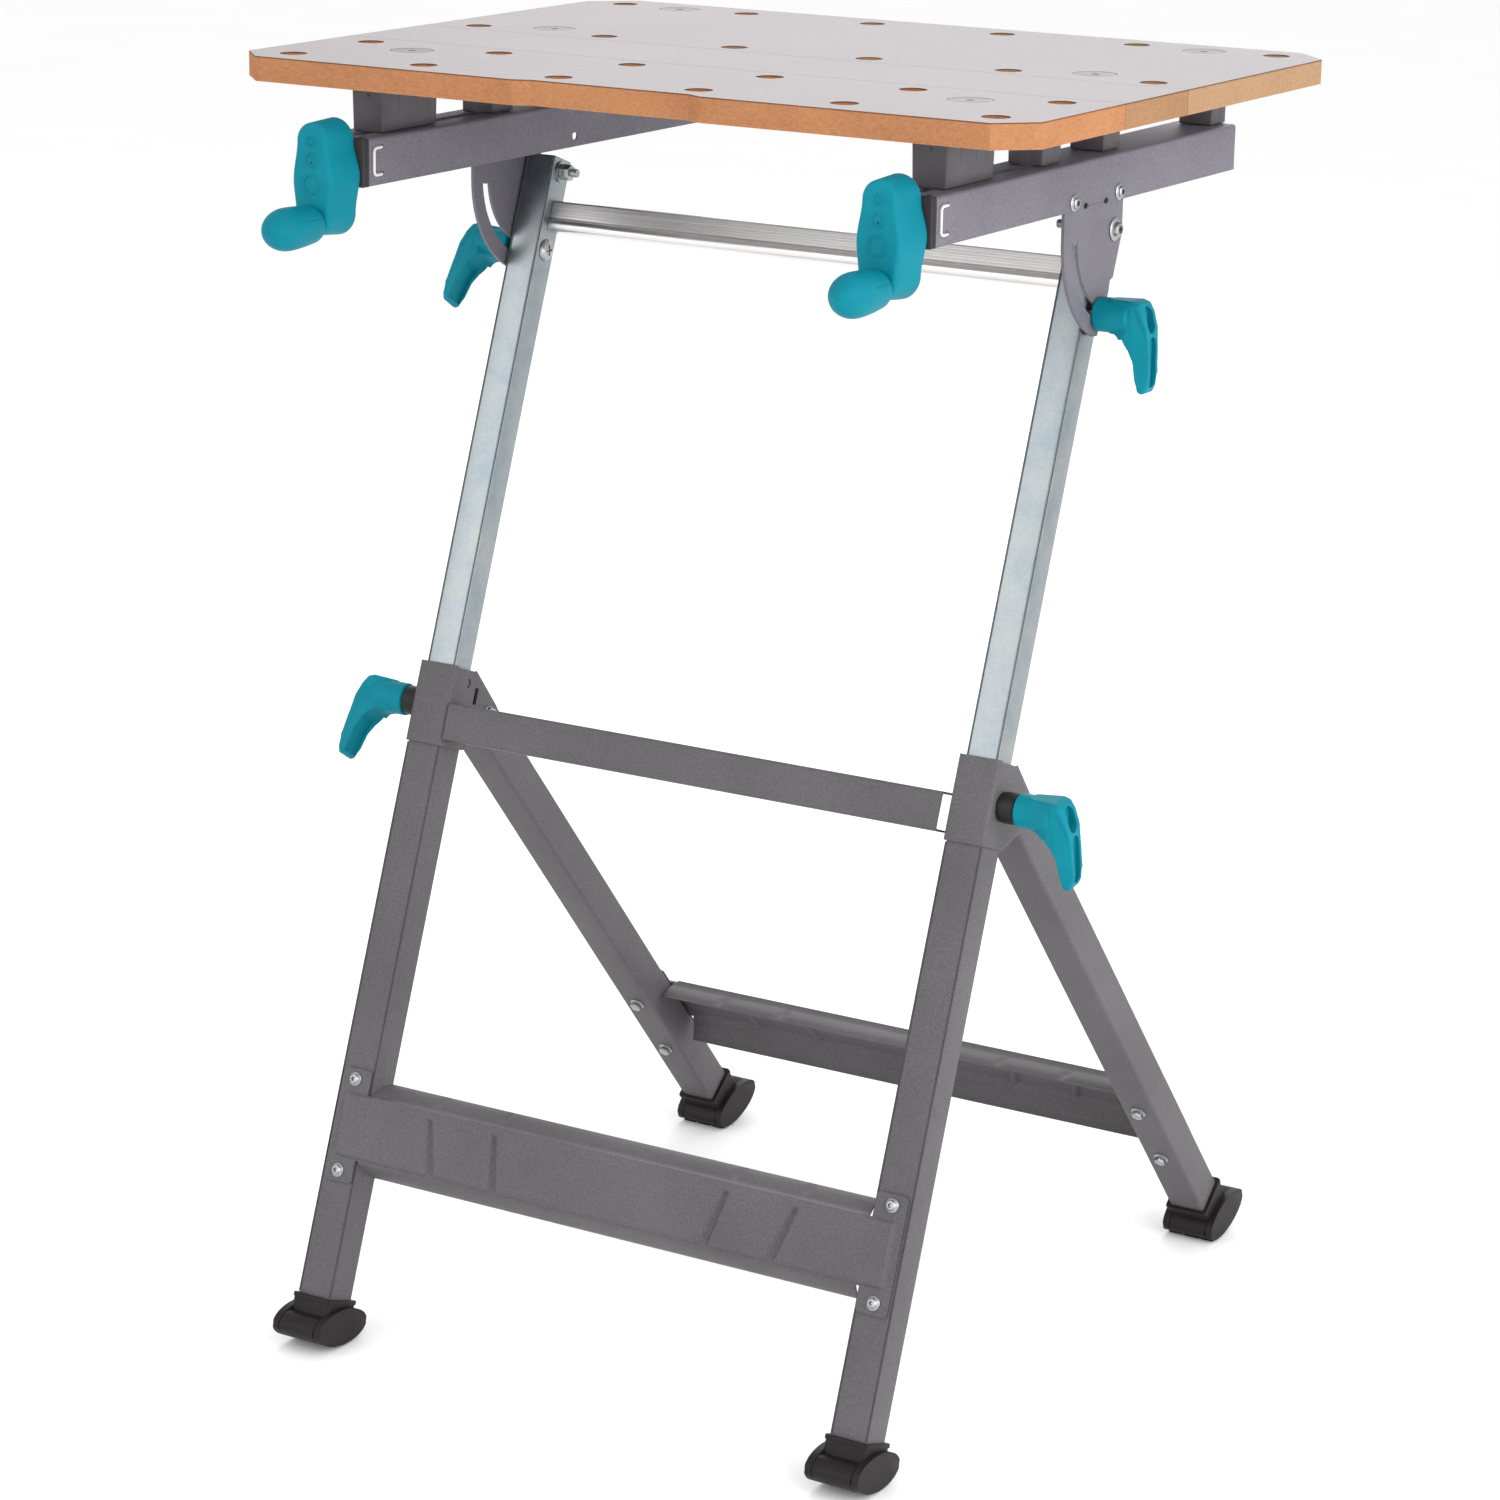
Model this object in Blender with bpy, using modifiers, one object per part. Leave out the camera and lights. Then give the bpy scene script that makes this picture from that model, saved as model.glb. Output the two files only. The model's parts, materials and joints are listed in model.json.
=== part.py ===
"""Folding work bench: a three-plank clamping top that tilts, on uprights that slide
in the front legs, with rear legs that fold forward.

Metres, +Z up. X runs along the top, -Y is the side the user stands on. The origin is
on the floor under the middle of the top. Two tilted frames carry the leg parts:
in the front leg frame Z runs up the front legs and Y points to their rear side, and
the fold frame is the same for the rear legs, with its origin on the fold pivot.
"""

from math import atan2, cos, pi, radians, sin

import bmesh
import bpy
from mathutils import Matrix, Vector

GAP = 0.0003  # left between pieces that touch
CENTRING = -0.0021  # moves the finished bench so its knobs and rear feet are equally far out

# ---- top ----
TOP_Z = 0.976
TOP_LENGTH = 0.650
TOP_DEPTH = 0.504
PLANK_T = 0.018
FRONT_PLANK_DEPTH = 0.148
MIDDLE_PLANK_DEPTH = 0.098
FRONT_CORNER_CUT = 0.025
REAR_CORNER_CUT = 0.030
SEAM = 0.0005
RECESS_WIDTH = 0.130  # shallow bay in the middle of the front edge
RECESS_RAMP = 0.012
RECESS_DEPTH = 0.006
DOG_HOLE_R = 0.010
DOG_HOLE_PITCH = 0.1153
DOG_HOLE_COLUMNS = 6
EDGE_TO_ROW = 0.030
FRONT_SEAM_TO_ROW = 0.023
REAR_SEAM_TO_ROW = 0.020
SCREW_DISC_R = 0.016
SCREW_DISC_T = 0.0022
SCREW_SHANK_R = 0.003

# ---- beams and jaw blocks ----
BEAM_X = 0.232
BEAM_W = 0.046
BEAM_H = 0.034
BEAM_BOTTOM = 0.888
BEAM_FRONT = -0.239
BEAM_REAR = 0.230
SHEET = 0.0015
BLOCK_W = 0.028
FRONT_BLOCK = (-0.209, -0.141)
MIDDLE_BLOCK = (-0.070, -0.042)
REAR_INNER_BLOCK = (0.025, 0.051)
REAR_OUTER_BLOCK = (0.205, 0.2295)
NUT_SLOT = (-0.226, -0.040)
NUT_SLOT_W = 0.010
NUT_TONGUE = (-0.186, -0.164)
SCREW_ROWS = (-0.1535, 0.0345, 0.2155)

# ---- spindles and cranks ----
SPINDLE_R = 0.005
SPINDLE_REAR = -0.056
CAP_FRONT = -0.2468
CRANK_BACK = -0.2475
CRANK_FRONT = -0.278
CRANK_THROW = 0.0415
CRANK_TOP_OFFSET = 0.0165
CRANK_TOP_R = 0.0155
CRANK_HUB_R = 0.0205
CRANK_HUB_DROP = 0.008
CRANK_END_R = 0.0170
CRANK_END_DROP = 0.0350
KNOB_R = 0.0155
KNOB_TIP = -0.329
KNOB_PIN_R = 0.004

# ---- frame tubes ----
FRONT_LEAN = radians(20.0)
REAR_LEAN = radians(40.7)
FRONT_LEG_Y = -0.300  # where the front face of the front legs meets the floor
LEG_X = 0.236
LEG = 0.030
LEG_WALL = 0.0018
FRONT_LEG_SPAN = (0.022, 0.5355)
UPRIGHT = 0.025
UPRIGHT_WALL = 0.0015
UPRIGHT_SPAN = (0.330, 0.938)
LEG_MID = LEG / 2

# ---- collars, upper bar, fold pivot ----
COLLAR_SPAN = (0.474, 0.537)
COLLAR_SHEET = 0.0018
COLLAR_HALF = LEG / 2 + GAP + COLLAR_SHEET
FOLD_N = 0.0545  # fold pivot in the front leg frame
FOLD_S = 0.505
FOLD_BOLT_R = 0.004
REAR_LEG_TOP = 0.017
CLAMP_S = 0.505
STUD_R = 0.004
BUSH_R = 0.0115
BUSH_L = 0.0138
UPPER_BAR_SPAN = (0.479, 0.508)
UPPER_BAR_FRONT = -0.002
UPPER_BAR_DEPTH = 0.020
UPPER_BAR_END_GAP = 0.006

# ---- lower panels ----
PANEL_SHEET = 0.0015
PANEL_SPAN = (0.139, 0.200)
PANEL_EAR_SPAN = (0.1315, 0.219)
PANEL_EAR_W = 0.0245
PANEL_FLANGE_BACK = 0.018
PANEL_FLANGE_RISE = 0.012
PANEL_LIP_BACK = 0.011
REAR_PANEL_SHIFT = -0.008

# ---- feet ----
FOOT_L = 0.044
FOOT_A = 0.031
FOOT_B = 0.014
SOLE_W = 0.016
SOLE_RISE = 0.0012
FRONT_FOOT_Y = -0.279
REAR_FOOT_Y = 0.3035
FRONT_FOOT_TILT = radians(-8.0)
REAR_FOOT_TILT = radians(18.0)
FOOT_SLEEVE = 0.0022
FRONT_SLEEVE_TOP = 0.042
REAR_SLEEVE_TOP = 0.052

# ---- tilt joint ----
TILT_S = 0.928
TILT_CLAMP_DROP = 0.062
BRACKET_T = 0.0024
BRACKET_R = 0.079
BRACKET_SLOT_HALF = 0.0046
TILT_SLOT_END = radians(180.0)
TILT_BOLT_R = 0.0035
CROSS_BAR_SPAN = (0.881, 0.9055)
CROSS_BAR_N = (0.012, 0.0265)

# ---- clamp levers ----
LEVER_HUB_R = 0.013
LEVER_HUB_L = 0.028
LEVER_W = 0.022
TILT_LEVER_REST = (radians(-33.0), 0.0)  # left, right: angle from straight down
HEIGHT_LEVER_REST = (radians(-33.0), radians(8.0))

ROUND = 20  # sides of a plain cylinder
SIDES = (("left", -1), ("right", 1))


# ---------------------------------------------------------------- derived places
def leg_point(n, s):
    """World (y, z) of a point in the front leg frame."""
    return (FRONT_LEG_Y + n * cos(FRONT_LEAN) + s * sin(FRONT_LEAN),
            -n * sin(FRONT_LEAN) + s * cos(FRONT_LEAN))


FOLD_Y, FOLD_Z = leg_point(FOLD_N, FOLD_S)
REAR_REACH = FOLD_Z / cos(REAR_LEAN)  # fold pivot to floor along the rear legs
TILT_Y, TILT_Z = leg_point(LEG_MID, TILT_S)
CLAMP_Y, CLAMP_Z = leg_point(LEG_MID, TILT_S - TILT_CLAMP_DROP)
HEIGHT_CLAMP_Y, HEIGHT_CLAMP_Z = leg_point(LEG_MID, CLAMP_S)
SPINDLE_Z = BEAM_BOTTOM + BEAM_H / 2
BEAM_TOP = BEAM_BOTTOM + BEAM_H
PLANK_BOTTOM = TOP_Z - PLANK_T
TOP_FRONT = -TOP_DEPTH / 2
FRONT_SEAM = TOP_FRONT + FRONT_PLANK_DEPTH
REAR_SEAM = FRONT_SEAM + MIDDLE_PLANK_DEPTH
BRACKET_X = BEAM_X + BEAM_W / 2 - SHEET - GAP - BRACKET_T / 2
BRACKET_OUT = BRACKET_X + BRACKET_T / 2
COLLAR_OUT = LEG_X + COLLAR_HALF
COLLAR_IN = LEG_X - COLLAR_HALF

# ---------------------------------------------------------------- scene and materials
for old in list(bpy.data.objects):
    bpy.data.objects.remove(old, do_unlink=True)
bench = bpy.data.collections.new("clamping_work_bench")
bpy.context.scene.collection.children.link(bench)

COLOURS = {  # base colour, roughness, metallic
    "laminate": ((0.60, 0.56, 0.55), 0.45, 0.0),
    "block": ((0.10, 0.095, 0.10), 0.50, 0.0),
    "paint": ((0.13, 0.125, 0.13), 0.45, 0.3),
    "zinc": ((0.72, 0.75, 0.77), 0.28, 1.0),
    "aluminium": ((0.80, 0.80, 0.80), 0.30, 1.0),
    "teal": ((0.007, 0.35, 0.42), 0.40, 0.0),
    "rubber": ((0.025, 0.022, 0.021), 0.60, 0.0),
    "disc": ((0.20, 0.20, 0.21), 0.50, 0.0),
    "black": ((0.02, 0.02, 0.02), 0.45, 0.0),
}


def make_material(name, kind):
    """A Principled material of the kind, for the piece of this name."""
    colour, roughness, metallic = COLOURS[kind]
    material = bpy.data.materials.new(f"{name}_{kind}")
    material.use_nodes = True
    shader = material.node_tree.nodes["Principled BSDF"]
    shader.inputs["Base Color"].default_value = (*colour, 1.0)
    shader.inputs["Roughness"].default_value = roughness
    shader.inputs["Metallic"].default_value = metallic
    material.diffuse_color = (*colour, 1.0)
    return material


def empty(name, location, tilt=0.0, parent=None):
    """A frame that pieces hang on: its X axis is a joint's axis or lies along the top."""
    frame = bpy.data.objects.new(name, None)
    frame.empty_display_size = 0.05
    bench.objects.link(frame)
    world = Matrix.Translation(location) @ Matrix.Rotation(tilt, 4, "X")
    if parent:
        frame.parent = parent
        frame.matrix_local = parent_world[parent.name].inverted() @ world
    else:
        frame.matrix_world = world
    parent_world[frame.name] = world
    return frame


parent_world = {}


# ---------------------------------------------------------------- shape helpers
def mesh_object(name, bm):
    mesh = bpy.data.meshes.new(name)
    bm.to_mesh(mesh)
    bm.free()
    made = bpy.data.objects.new(name, mesh)
    bench.objects.link(made)
    return made


def box(low, high, name="shape"):
    bm = bmesh.new()
    size = [b - a for a, b in zip(low, high)]
    middle = [(a + b) / 2 for a, b in zip(low, high)]
    bmesh.ops.create_cube(bm, size=1.0, matrix=Matrix.Translation(middle) @ Matrix.Diagonal((*size, 1.0)))
    return mesh_object(name, bm)


def rod(start, end, radius, sides=ROUND, end_radius=None, name="shape"):
    """A cylinder or cone from start to end."""
    start, end = Vector(start), Vector(end)
    turn = (end - start).to_track_quat("Z", "Y").to_matrix().to_4x4()
    bm = bmesh.new()
    bmesh.ops.create_cone(bm, cap_ends=True, segments=sides, radius1=radius,
                          radius2=radius if end_radius is None else end_radius,
                          depth=(end - start).length,
                          matrix=Matrix.Translation((start + end) / 2) @ turn)
    return mesh_object(name, bm)


TO_PLANE = {  # sends the curve's own X, Y and thickness to two axes and the third
    "XY": Matrix.Identity(3),
    "YZ": Matrix(((0, 0, 1), (1, 0, 0), (0, 1, 0))),
    "XZ": Matrix(((1, 0, 0), (0, 0, -1), (0, 1, 0))),
}


def plate(outline, low, high, plane, name="shape"):
    """A flat outline extruded from low to high along the axis that the plane leaves."""
    curve = bpy.data.curves.new(name, "CURVE")
    curve.dimensions = "2D"
    curve.fill_mode = "BOTH"
    curve.extrude = (high - low) / 2
    spline = curve.splines.new("POLY")
    spline.points.add(len(outline) - 1)
    for point, (u, v) in zip(spline.points, outline):
        point.co = (u, v, 0.0, 1.0)
    spline.use_cyclic_u = True
    drawn = bpy.data.objects.new(name, curve)
    bench.objects.link(drawn)
    mesh = bpy.data.meshes.new_from_object(drawn.evaluated_get(bpy.context.evaluated_depsgraph_get()))
    bpy.data.objects.remove(drawn)
    turn = TO_PLANE[plane]
    shift = turn @ Vector((0, 0, 1)) * (low + high) / 2
    if plane == "XZ":
        shift = -shift
    mesh.transform(Matrix.Translation(shift) @ turn.to_4x4())
    bm = bmesh.new()
    bm.from_mesh(mesh)
    bmesh.ops.remove_doubles(bm, verts=bm.verts, dist=1e-6)
    bmesh.ops.recalc_face_normals(bm, faces=bm.faces)
    bpy.data.meshes.remove(mesh)
    return mesh_object(name, bm)


def turned(profile, centre, sides=24, name="shape"):
    """A profile of (radius, distance along -Y) spun about the Y axis through centre."""
    bm = bmesh.new()
    verts = [bm.verts.new((r, d, 0.0)) for r, d in profile]
    for a, b in zip(verts, verts[1:]):
        bm.edges.new((a, b))
    made = mesh_object(name, bm)
    spin = made.modifiers.new("spin", "SCREW")
    spin.axis = "Y"
    spin.steps = spin.render_steps = sides
    spin.use_merge_vertices = True
    spin.merge_threshold = 1e-6
    spin.use_normal_calculate = True
    apply_modifiers(made)
    made.data.transform(Matrix.Translation(centre))
    bm = bmesh.new()
    bm.from_mesh(made.data)
    bmesh.ops.recalc_face_normals(bm, faces=bm.faces)
    bm.to_mesh(made.data)
    bm.free()
    return made


def apply_modifiers(piece):
    """Replaces the mesh by what its modifiers make of it."""
    graph = bpy.context.evaluated_depsgraph_get()
    mesh = bpy.data.meshes.new_from_object(piece.evaluated_get(graph))
    piece.modifiers.clear()
    piece.data = mesh


def combine(piece, others, operation):
    """Boolean with each of the others, which are used up."""
    for other in others:
        step = piece.modifiers.new("boolean", "BOOLEAN")
        step.operation = operation
        step.object = other
    apply_modifiers(piece)
    for other in others:
        bpy.data.objects.remove(other, do_unlink=True)
    return piece


def cut(piece, *cutters):
    return combine(piece, cutters, "DIFFERENCE")


def join(piece, *others):
    return combine(piece, others, "UNION")


def rounded(piece, width, segments=2, angle=40):
    """Bevels the piece's sharp edges."""
    step = piece.modifiers.new("bevel", "BEVEL")
    step.width = width
    step.segments = segments
    step.limit_method = "ANGLE"
    step.angle_limit = radians(angle)
    apply_modifiers(piece)
    return piece


def arc(cx, cy, radius, start, end, steps):
    """Points from start to end angle, both included."""
    return [(cx + radius * cos(start + (end - start) * i / steps),
             cy + radius * sin(start + (end - start) * i / steps)) for i in range(steps + 1)]


def finish(name, piece, frame, kind, smooth=True):
    """Names the piece, hangs it on its frame and gives it its material."""
    piece.name = piece.data.name = name
    piece.parent = frame
    piece.data.materials.clear()
    piece.data.materials.append(make_material(name, kind))
    if smooth:
        piece.data.shade_smooth()
        piece.data.set_sharp_from_angle(angle=radians(35))
    return piece


def to_frame(piece, frame):
    """Turns a mesh drawn in world places into the frame's own."""
    piece.data.transform(parent_world[frame.name].inverted())
    return piece


# ---------------------------------------------------------------- frames
front_frame = empty("front_leg_frame", (0, FRONT_LEG_Y, 0), -FRONT_LEAN)
fold_frame = empty("fold_frame", (0, FOLD_Y, FOLD_Z), REAR_LEAN, front_frame)
height_frame = empty("height_frame", (0, FRONT_LEG_Y, 0), -FRONT_LEAN, front_frame)
tilt_frame = empty("tilt_frame", (0, TILT_Y, TILT_Z), 0.0, height_frame)
jaw_frame = empty("jaw_frame", (0, TILT_Y, TILT_Z), 0.0, tilt_frame)


# ---------------------------------------------------------------- top
def top_outline(front, rear, front_cut, rear_cut, bay=False):
    """A plank's outline, from its front left corner round to its rear left."""
    half = TOP_LENGTH / 2
    points = []
    if front_cut:
        points += [(-half, front + front_cut), (-half + front_cut, front)]
    else:
        points += [(-half, front)]
    if bay:
        reach = RECESS_WIDTH / 2
        points += [(-reach - RECESS_RAMP, front), (-reach, front + RECESS_DEPTH),
                   (reach, front + RECESS_DEPTH), (reach + RECESS_RAMP, front)]
    if front_cut:
        points += [(half - front_cut, front), (half, front + front_cut)]
    else:
        points += [(half, front)]
    if rear_cut:
        points += [(half, rear - rear_cut), (half - rear_cut, rear),
                   (-half + rear_cut, rear), (-half, rear - rear_cut)]
    else:
        points += [(half, rear), (-half, rear)]
    return points


def plank(name, front, rear, frame, front_cut=0.0, rear_cut=0.0, bay=False, dog_rows=(), screw_rows=()):
    piece = plate(top_outline(front, rear, front_cut, rear_cut, bay), PLANK_BOTTOM, TOP_Z, "XY")
    cutters = []
    for y in dog_rows:
        for column in range(DOG_HOLE_COLUMNS):
            x = (column - (DOG_HOLE_COLUMNS - 1) / 2) * DOG_HOLE_PITCH
            cutters.append(rod((x, y, PLANK_BOTTOM - 0.005), (x, y, TOP_Z + 0.005), DOG_HOLE_R))
    for y in screw_rows:
        for _, side in SIDES:
            x = side * BEAM_X
            cutters.append(rod((x, y, TOP_Z - SCREW_DISC_T), (x, y, TOP_Z + 0.005), SCREW_DISC_R + GAP, 24))
            cutters.append(rod((x, y, PLANK_BOTTOM - 0.005), (x, y, TOP_Z), SCREW_SHANK_R + 2 * GAP, 12))
    if cutters:
        cut(piece, *cutters)
    return finish(name, to_frame(piece, frame), frame, "laminate", smooth=False)


plank("front_plank", TOP_FRONT, FRONT_SEAM - SEAM, jaw_frame, front_cut=FRONT_CORNER_CUT, bay=True,
      dog_rows=(TOP_FRONT + EDGE_TO_ROW, FRONT_SEAM - FRONT_SEAM_TO_ROW), screw_rows=SCREW_ROWS[:1])
plank("middle_plank", FRONT_SEAM, REAR_SEAM - SEAM, tilt_frame)
plank("rear_plank", REAR_SEAM, TOP_DEPTH / 2, tilt_frame, rear_cut=REAR_CORNER_CUT,
      dog_rows=(REAR_SEAM + REAR_SEAM_TO_ROW, TOP_DEPTH / 2 - EDGE_TO_ROW), screw_rows=SCREW_ROWS[1:])


# ---------------------------------------------------------------- beams
def beam(side_name, side):
    """A channel, open below and at the front, with a slot in its top for the jaw nut."""
    x = side * BEAM_X
    half = BEAM_W / 2
    piece = box((x - half, BEAM_FRONT, BEAM_BOTTOM), (x + half, BEAM_REAR, BEAM_TOP))
    hollow = box((x - half + SHEET, BEAM_FRONT - 0.01, BEAM_BOTTOM - 0.01),
                 (x + half - SHEET, BEAM_REAR - SHEET, BEAM_TOP - SHEET))
    slot = box((x - NUT_SLOT_W / 2, NUT_SLOT[0], BEAM_TOP - 0.01), (x + NUT_SLOT_W / 2, NUT_SLOT[1], BEAM_TOP + 0.01))
    cut(piece, hollow, slot)
    finish(f"beam_{side_name}", to_frame(piece, tilt_frame), tilt_frame, "paint", smooth=False)


def end_cap(side_name, side):
    """Closes the beam's front end and carries the spindle."""
    x = side * BEAM_X
    half = BEAM_W / 2
    piece = box((x - half + 0.0005, CAP_FRONT, BEAM_BOTTOM + 0.0005),
                (x + half - 0.0005, BEAM_FRONT - GAP, BEAM_TOP - 0.0005))
    plug = box((x - half + SHEET + GAP, BEAM_FRONT - 0.001, BEAM_BOTTOM + 0.001),
               (x + half - SHEET - GAP, BEAM_FRONT + 0.008, BEAM_TOP - SHEET - GAP))
    bore = rod((x, CAP_FRONT - 0.01, SPINDLE_Z), (x, BEAM_FRONT + 0.02, SPINDLE_Z), SPINDLE_R + GAP)
    cut(join(piece, plug), bore)
    finish(f"beam_end_cap_{side_name}", to_frame(piece, tilt_frame), tilt_frame, "block")


def jaw_block(name, side, span, frame, screw_y=None, nut=False):
    """A block that lifts a plank off the beam; the front one holds the spindle's nut."""
    x = side * BEAM_X
    low, high = BEAM_TOP + GAP, PLANK_BOTTOM - GAP
    half = BLOCK_W / 2
    piece = box((x - half, span[0], low), (x + half, span[1], high))
    cutters = []
    if nut:
        tongue = box((x - NUT_SLOT_W / 2 + 0.001, NUT_TONGUE[0], SPINDLE_Z - 0.009),
                     (x + NUT_SLOT_W / 2 - 0.001, NUT_TONGUE[1], low + 0.002))
        nut_body = box((x - 0.010, NUT_TONGUE[0], SPINDLE_Z - 0.010), (x + 0.010, NUT_TONGUE[1], SPINDLE_Z + 0.010))
        join(piece, tongue, nut_body)
        cutters.append(rod((x, NUT_TONGUE[0] - 0.01, SPINDLE_Z), (x, NUT_TONGUE[1] + 0.01, SPINDLE_Z), SPINDLE_R + GAP))
    if screw_y is not None:
        cutters.append(rod((x, screw_y, high - 0.013), (x, screw_y, high + 0.005), SCREW_SHANK_R + GAP, 12))
    if cutters:
        cut(piece, *cutters)
    finish(name, to_frame(piece, frame), frame, "block")


def jaw_screw(name, side, y, frame):
    """Disc-headed screw that holds a plank on its block."""
    x = side * BEAM_X
    head = rod((x, y, TOP_Z - SCREW_DISC_T + GAP), (x, y, TOP_Z - 0.0001), SCREW_DISC_R, 24)
    shank = rod((x, y, PLANK_BOTTOM - 0.012), (x, y, TOP_Z - SCREW_DISC_T / 2), SCREW_SHANK_R, 12)
    finish(name, to_frame(join(head, shank), frame), frame, "disc")


def bracket_outline():
    """Side plate that carries the beam, in (y, z) from the tilt pivot."""
    top = BEAM_TOP - SHEET - 0.006 - TILT_Z
    points = [(0.013, top), (0.013, -0.004), (0.001, -0.035), (-0.0035, -0.0365), (-0.0055, -0.0455),
              (-0.021, -0.0745)]
    points += arc(0, 0, BRACKET_R, radians(250), radians(178), 12)
    points += [(-BRACKET_R - 0.0005, top)]
    return points


def tilt_bracket(side_name, side):
    x = side * BRACKET_X
    outline = [(TILT_Y + y, TILT_Z + z) for y, z in bracket_outline()]
    piece = plate(outline, x - BRACKET_T / 2, x + BRACKET_T / 2, "YZ")
    rest = atan2(CLAMP_Z - TILT_Z, CLAMP_Y - TILT_Y) + 2 * pi
    slot = arc(TILT_Y, TILT_Z, TILT_CLAMP_DROP + BRACKET_SLOT_HALF, TILT_SLOT_END, rest, 14)
    slot += arc(CLAMP_Y, CLAMP_Z, BRACKET_SLOT_HALF, rest, rest + pi, 6)[1:-1]
    slot += arc(TILT_Y, TILT_Z, TILT_CLAMP_DROP - BRACKET_SLOT_HALF, rest, TILT_SLOT_END, 14)
    end_y = TILT_Y + TILT_CLAMP_DROP * cos(TILT_SLOT_END)
    end_z = TILT_Z + TILT_CLAMP_DROP * sin(TILT_SLOT_END)
    slot += arc(end_y, end_z, BRACKET_SLOT_HALF, TILT_SLOT_END + pi, TILT_SLOT_END, 6)[1:-1]
    cut(piece, plate(slot, x - 0.01, x + 0.01, "YZ"),
        rod((x - 0.01, TILT_Y, TILT_Z), (x + 0.01, TILT_Y, TILT_Z), TILT_BOLT_R + GAP))
    finish(f"tilt_bracket_{side_name}", to_frame(piece, tilt_frame), tilt_frame, "paint", smooth=False)


def crank_outline():
    """Crank body in (x, z) from the spindle: small top lobe, wide hub, round end."""
    lobes = [(CRANK_TOP_OFFSET, CRANK_TOP_R, 0, 180), (-CRANK_HUB_DROP, CRANK_HUB_R, 160, 200),
             (-CRANK_END_DROP, CRANK_END_R, 190, 350), (-CRANK_HUB_DROP, CRANK_HUB_R, -20, 20)]
    points = []
    for z, radius, start, end in lobes:
        points += arc(0, z, radius, radians(start), radians(end), 10 if end - start > 100 else 3)
    return points


def crank_and_spindle(side_name, side):
    x = side * BEAM_X
    turn = empty(f"crank_axis_{side_name}", (x, 0, SPINDLE_Z), 0.0, tilt_frame)
    spindle = rod((x, CRANK_BACK - 0.018, SPINDLE_Z), (x, SPINDLE_REAR, SPINDLE_Z), SPINDLE_R)
    finish(f"spindle_{side_name}", to_frame(spindle, turn), turn, "zinc")
    body = plate([(x + u, SPINDLE_Z + v) for u, v in crank_outline()], CRANK_FRONT, CRANK_BACK, "XZ")
    rounded(body, 0.004, 2, 50)
    socket = rod((x, CRANK_BACK + 0.01, SPINDLE_Z), (x, CRANK_BACK - 0.0185, SPINDLE_Z), SPINDLE_R + GAP)
    pin_z = SPINDLE_Z - CRANK_THROW
    pin = rod((x, CRANK_FRONT + 0.005, pin_z), (x, KNOB_TIP + 0.014, pin_z), KNOB_PIN_R, 16)
    cut(join(body, pin), socket)
    finish(f"crank_{side_name}", to_frame(body, turn), turn, "teal")
    spin = empty(f"knob_axis_{side_name}", (x, 0, pin_z), 0.0, turn)
    length = CRANK_FRONT - GAP - KNOB_TIP
    bore = length - 0.0137
    profile = [(0.0, -bore), (KNOB_PIN_R + GAP, -bore), (KNOB_PIN_R + GAP, 0.0), (KNOB_R - 0.0012, 0.0),
               (KNOB_R, -0.0012), (KNOB_R, KNOB_R - length)]
    profile += [(KNOB_R * cos(a), KNOB_R * (1 - sin(a)) - length)
                for a in (radians(t) for t in (18, 36, 54, 72))]
    profile += [(0.0, -length)]
    knob = turned(profile, (x, CRANK_FRONT - GAP, pin_z))
    finish(f"crank_knob_{side_name}", to_frame(knob, spin), spin, "teal")


for side_name, side in SIDES:
    beam(side_name, side)
    end_cap(side_name, side)
    tilt_bracket(side_name, side)
    crank_and_spindle(side_name, side)
    jaw_block(f"front_jaw_block_{side_name}", side, FRONT_BLOCK, jaw_frame, SCREW_ROWS[0], nut=True)
    jaw_block(f"middle_block_{side_name}", side, MIDDLE_BLOCK, tilt_frame)
    jaw_block(f"rear_inner_block_{side_name}", side, REAR_INNER_BLOCK, tilt_frame, SCREW_ROWS[1])
    jaw_block(f"rear_outer_block_{side_name}", side, REAR_OUTER_BLOCK, tilt_frame, SCREW_ROWS[2])
    jaw_screw(f"front_jaw_screw_{side_name}", side, SCREW_ROWS[0], jaw_frame)
    jaw_screw(f"rear_inner_screw_{side_name}", side, SCREW_ROWS[1], tilt_frame)
    jaw_screw(f"rear_outer_screw_{side_name}", side, SCREW_ROWS[2], tilt_frame)


# ---------------------------------------------------------------- tubes and bars
def square_tube(x, n, span, width, wall):
    """A square tube along its frame's Z axis, open at both ends."""
    half = width / 2
    piece = box((x - half, n - half, span[0]), (x + half, n + half, span[1]))
    inner = half - wall
    return cut(piece, box((x - inner, n - inner, span[0] - 0.01), (x + inner, n + inner, span[1] + 0.01)))


def cross_rod(x, n, s, radius, reach):
    """A cutter or bolt along X through (n, s)."""
    return rod((x - reach, n, s), (x + reach, n, s), radius)


def front_leg(side_name, side):
    piece = square_tube(side * LEG_X, LEG_MID, FRONT_LEG_SPAN, LEG, LEG_WALL)
    out = side * (LEG_X + LEG_MID)
    cut(piece, rod((out - side * 0.006, LEG_MID, CLAMP_S), (out + side * 0.006, LEG_MID, CLAMP_S), STUD_R + GAP))
    finish(f"front_leg_{side_name}", piece, front_frame, "paint", smooth=False)


def upright(side_name, side):
    x = side * LEG_X
    piece = square_tube(x, LEG_MID, UPRIGHT_SPAN, UPRIGHT, UPRIGHT_WALL)
    cut(piece, cross_rod(x, LEG_MID, TILT_S, TILT_BOLT_R + GAP, 0.03),
        cross_rod(x, LEG_MID, TILT_S - TILT_CLAMP_DROP, STUD_R + GAP, 0.03))
    finish(f"upright_{side_name}", piece, height_frame, "zinc", smooth=False)


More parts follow.
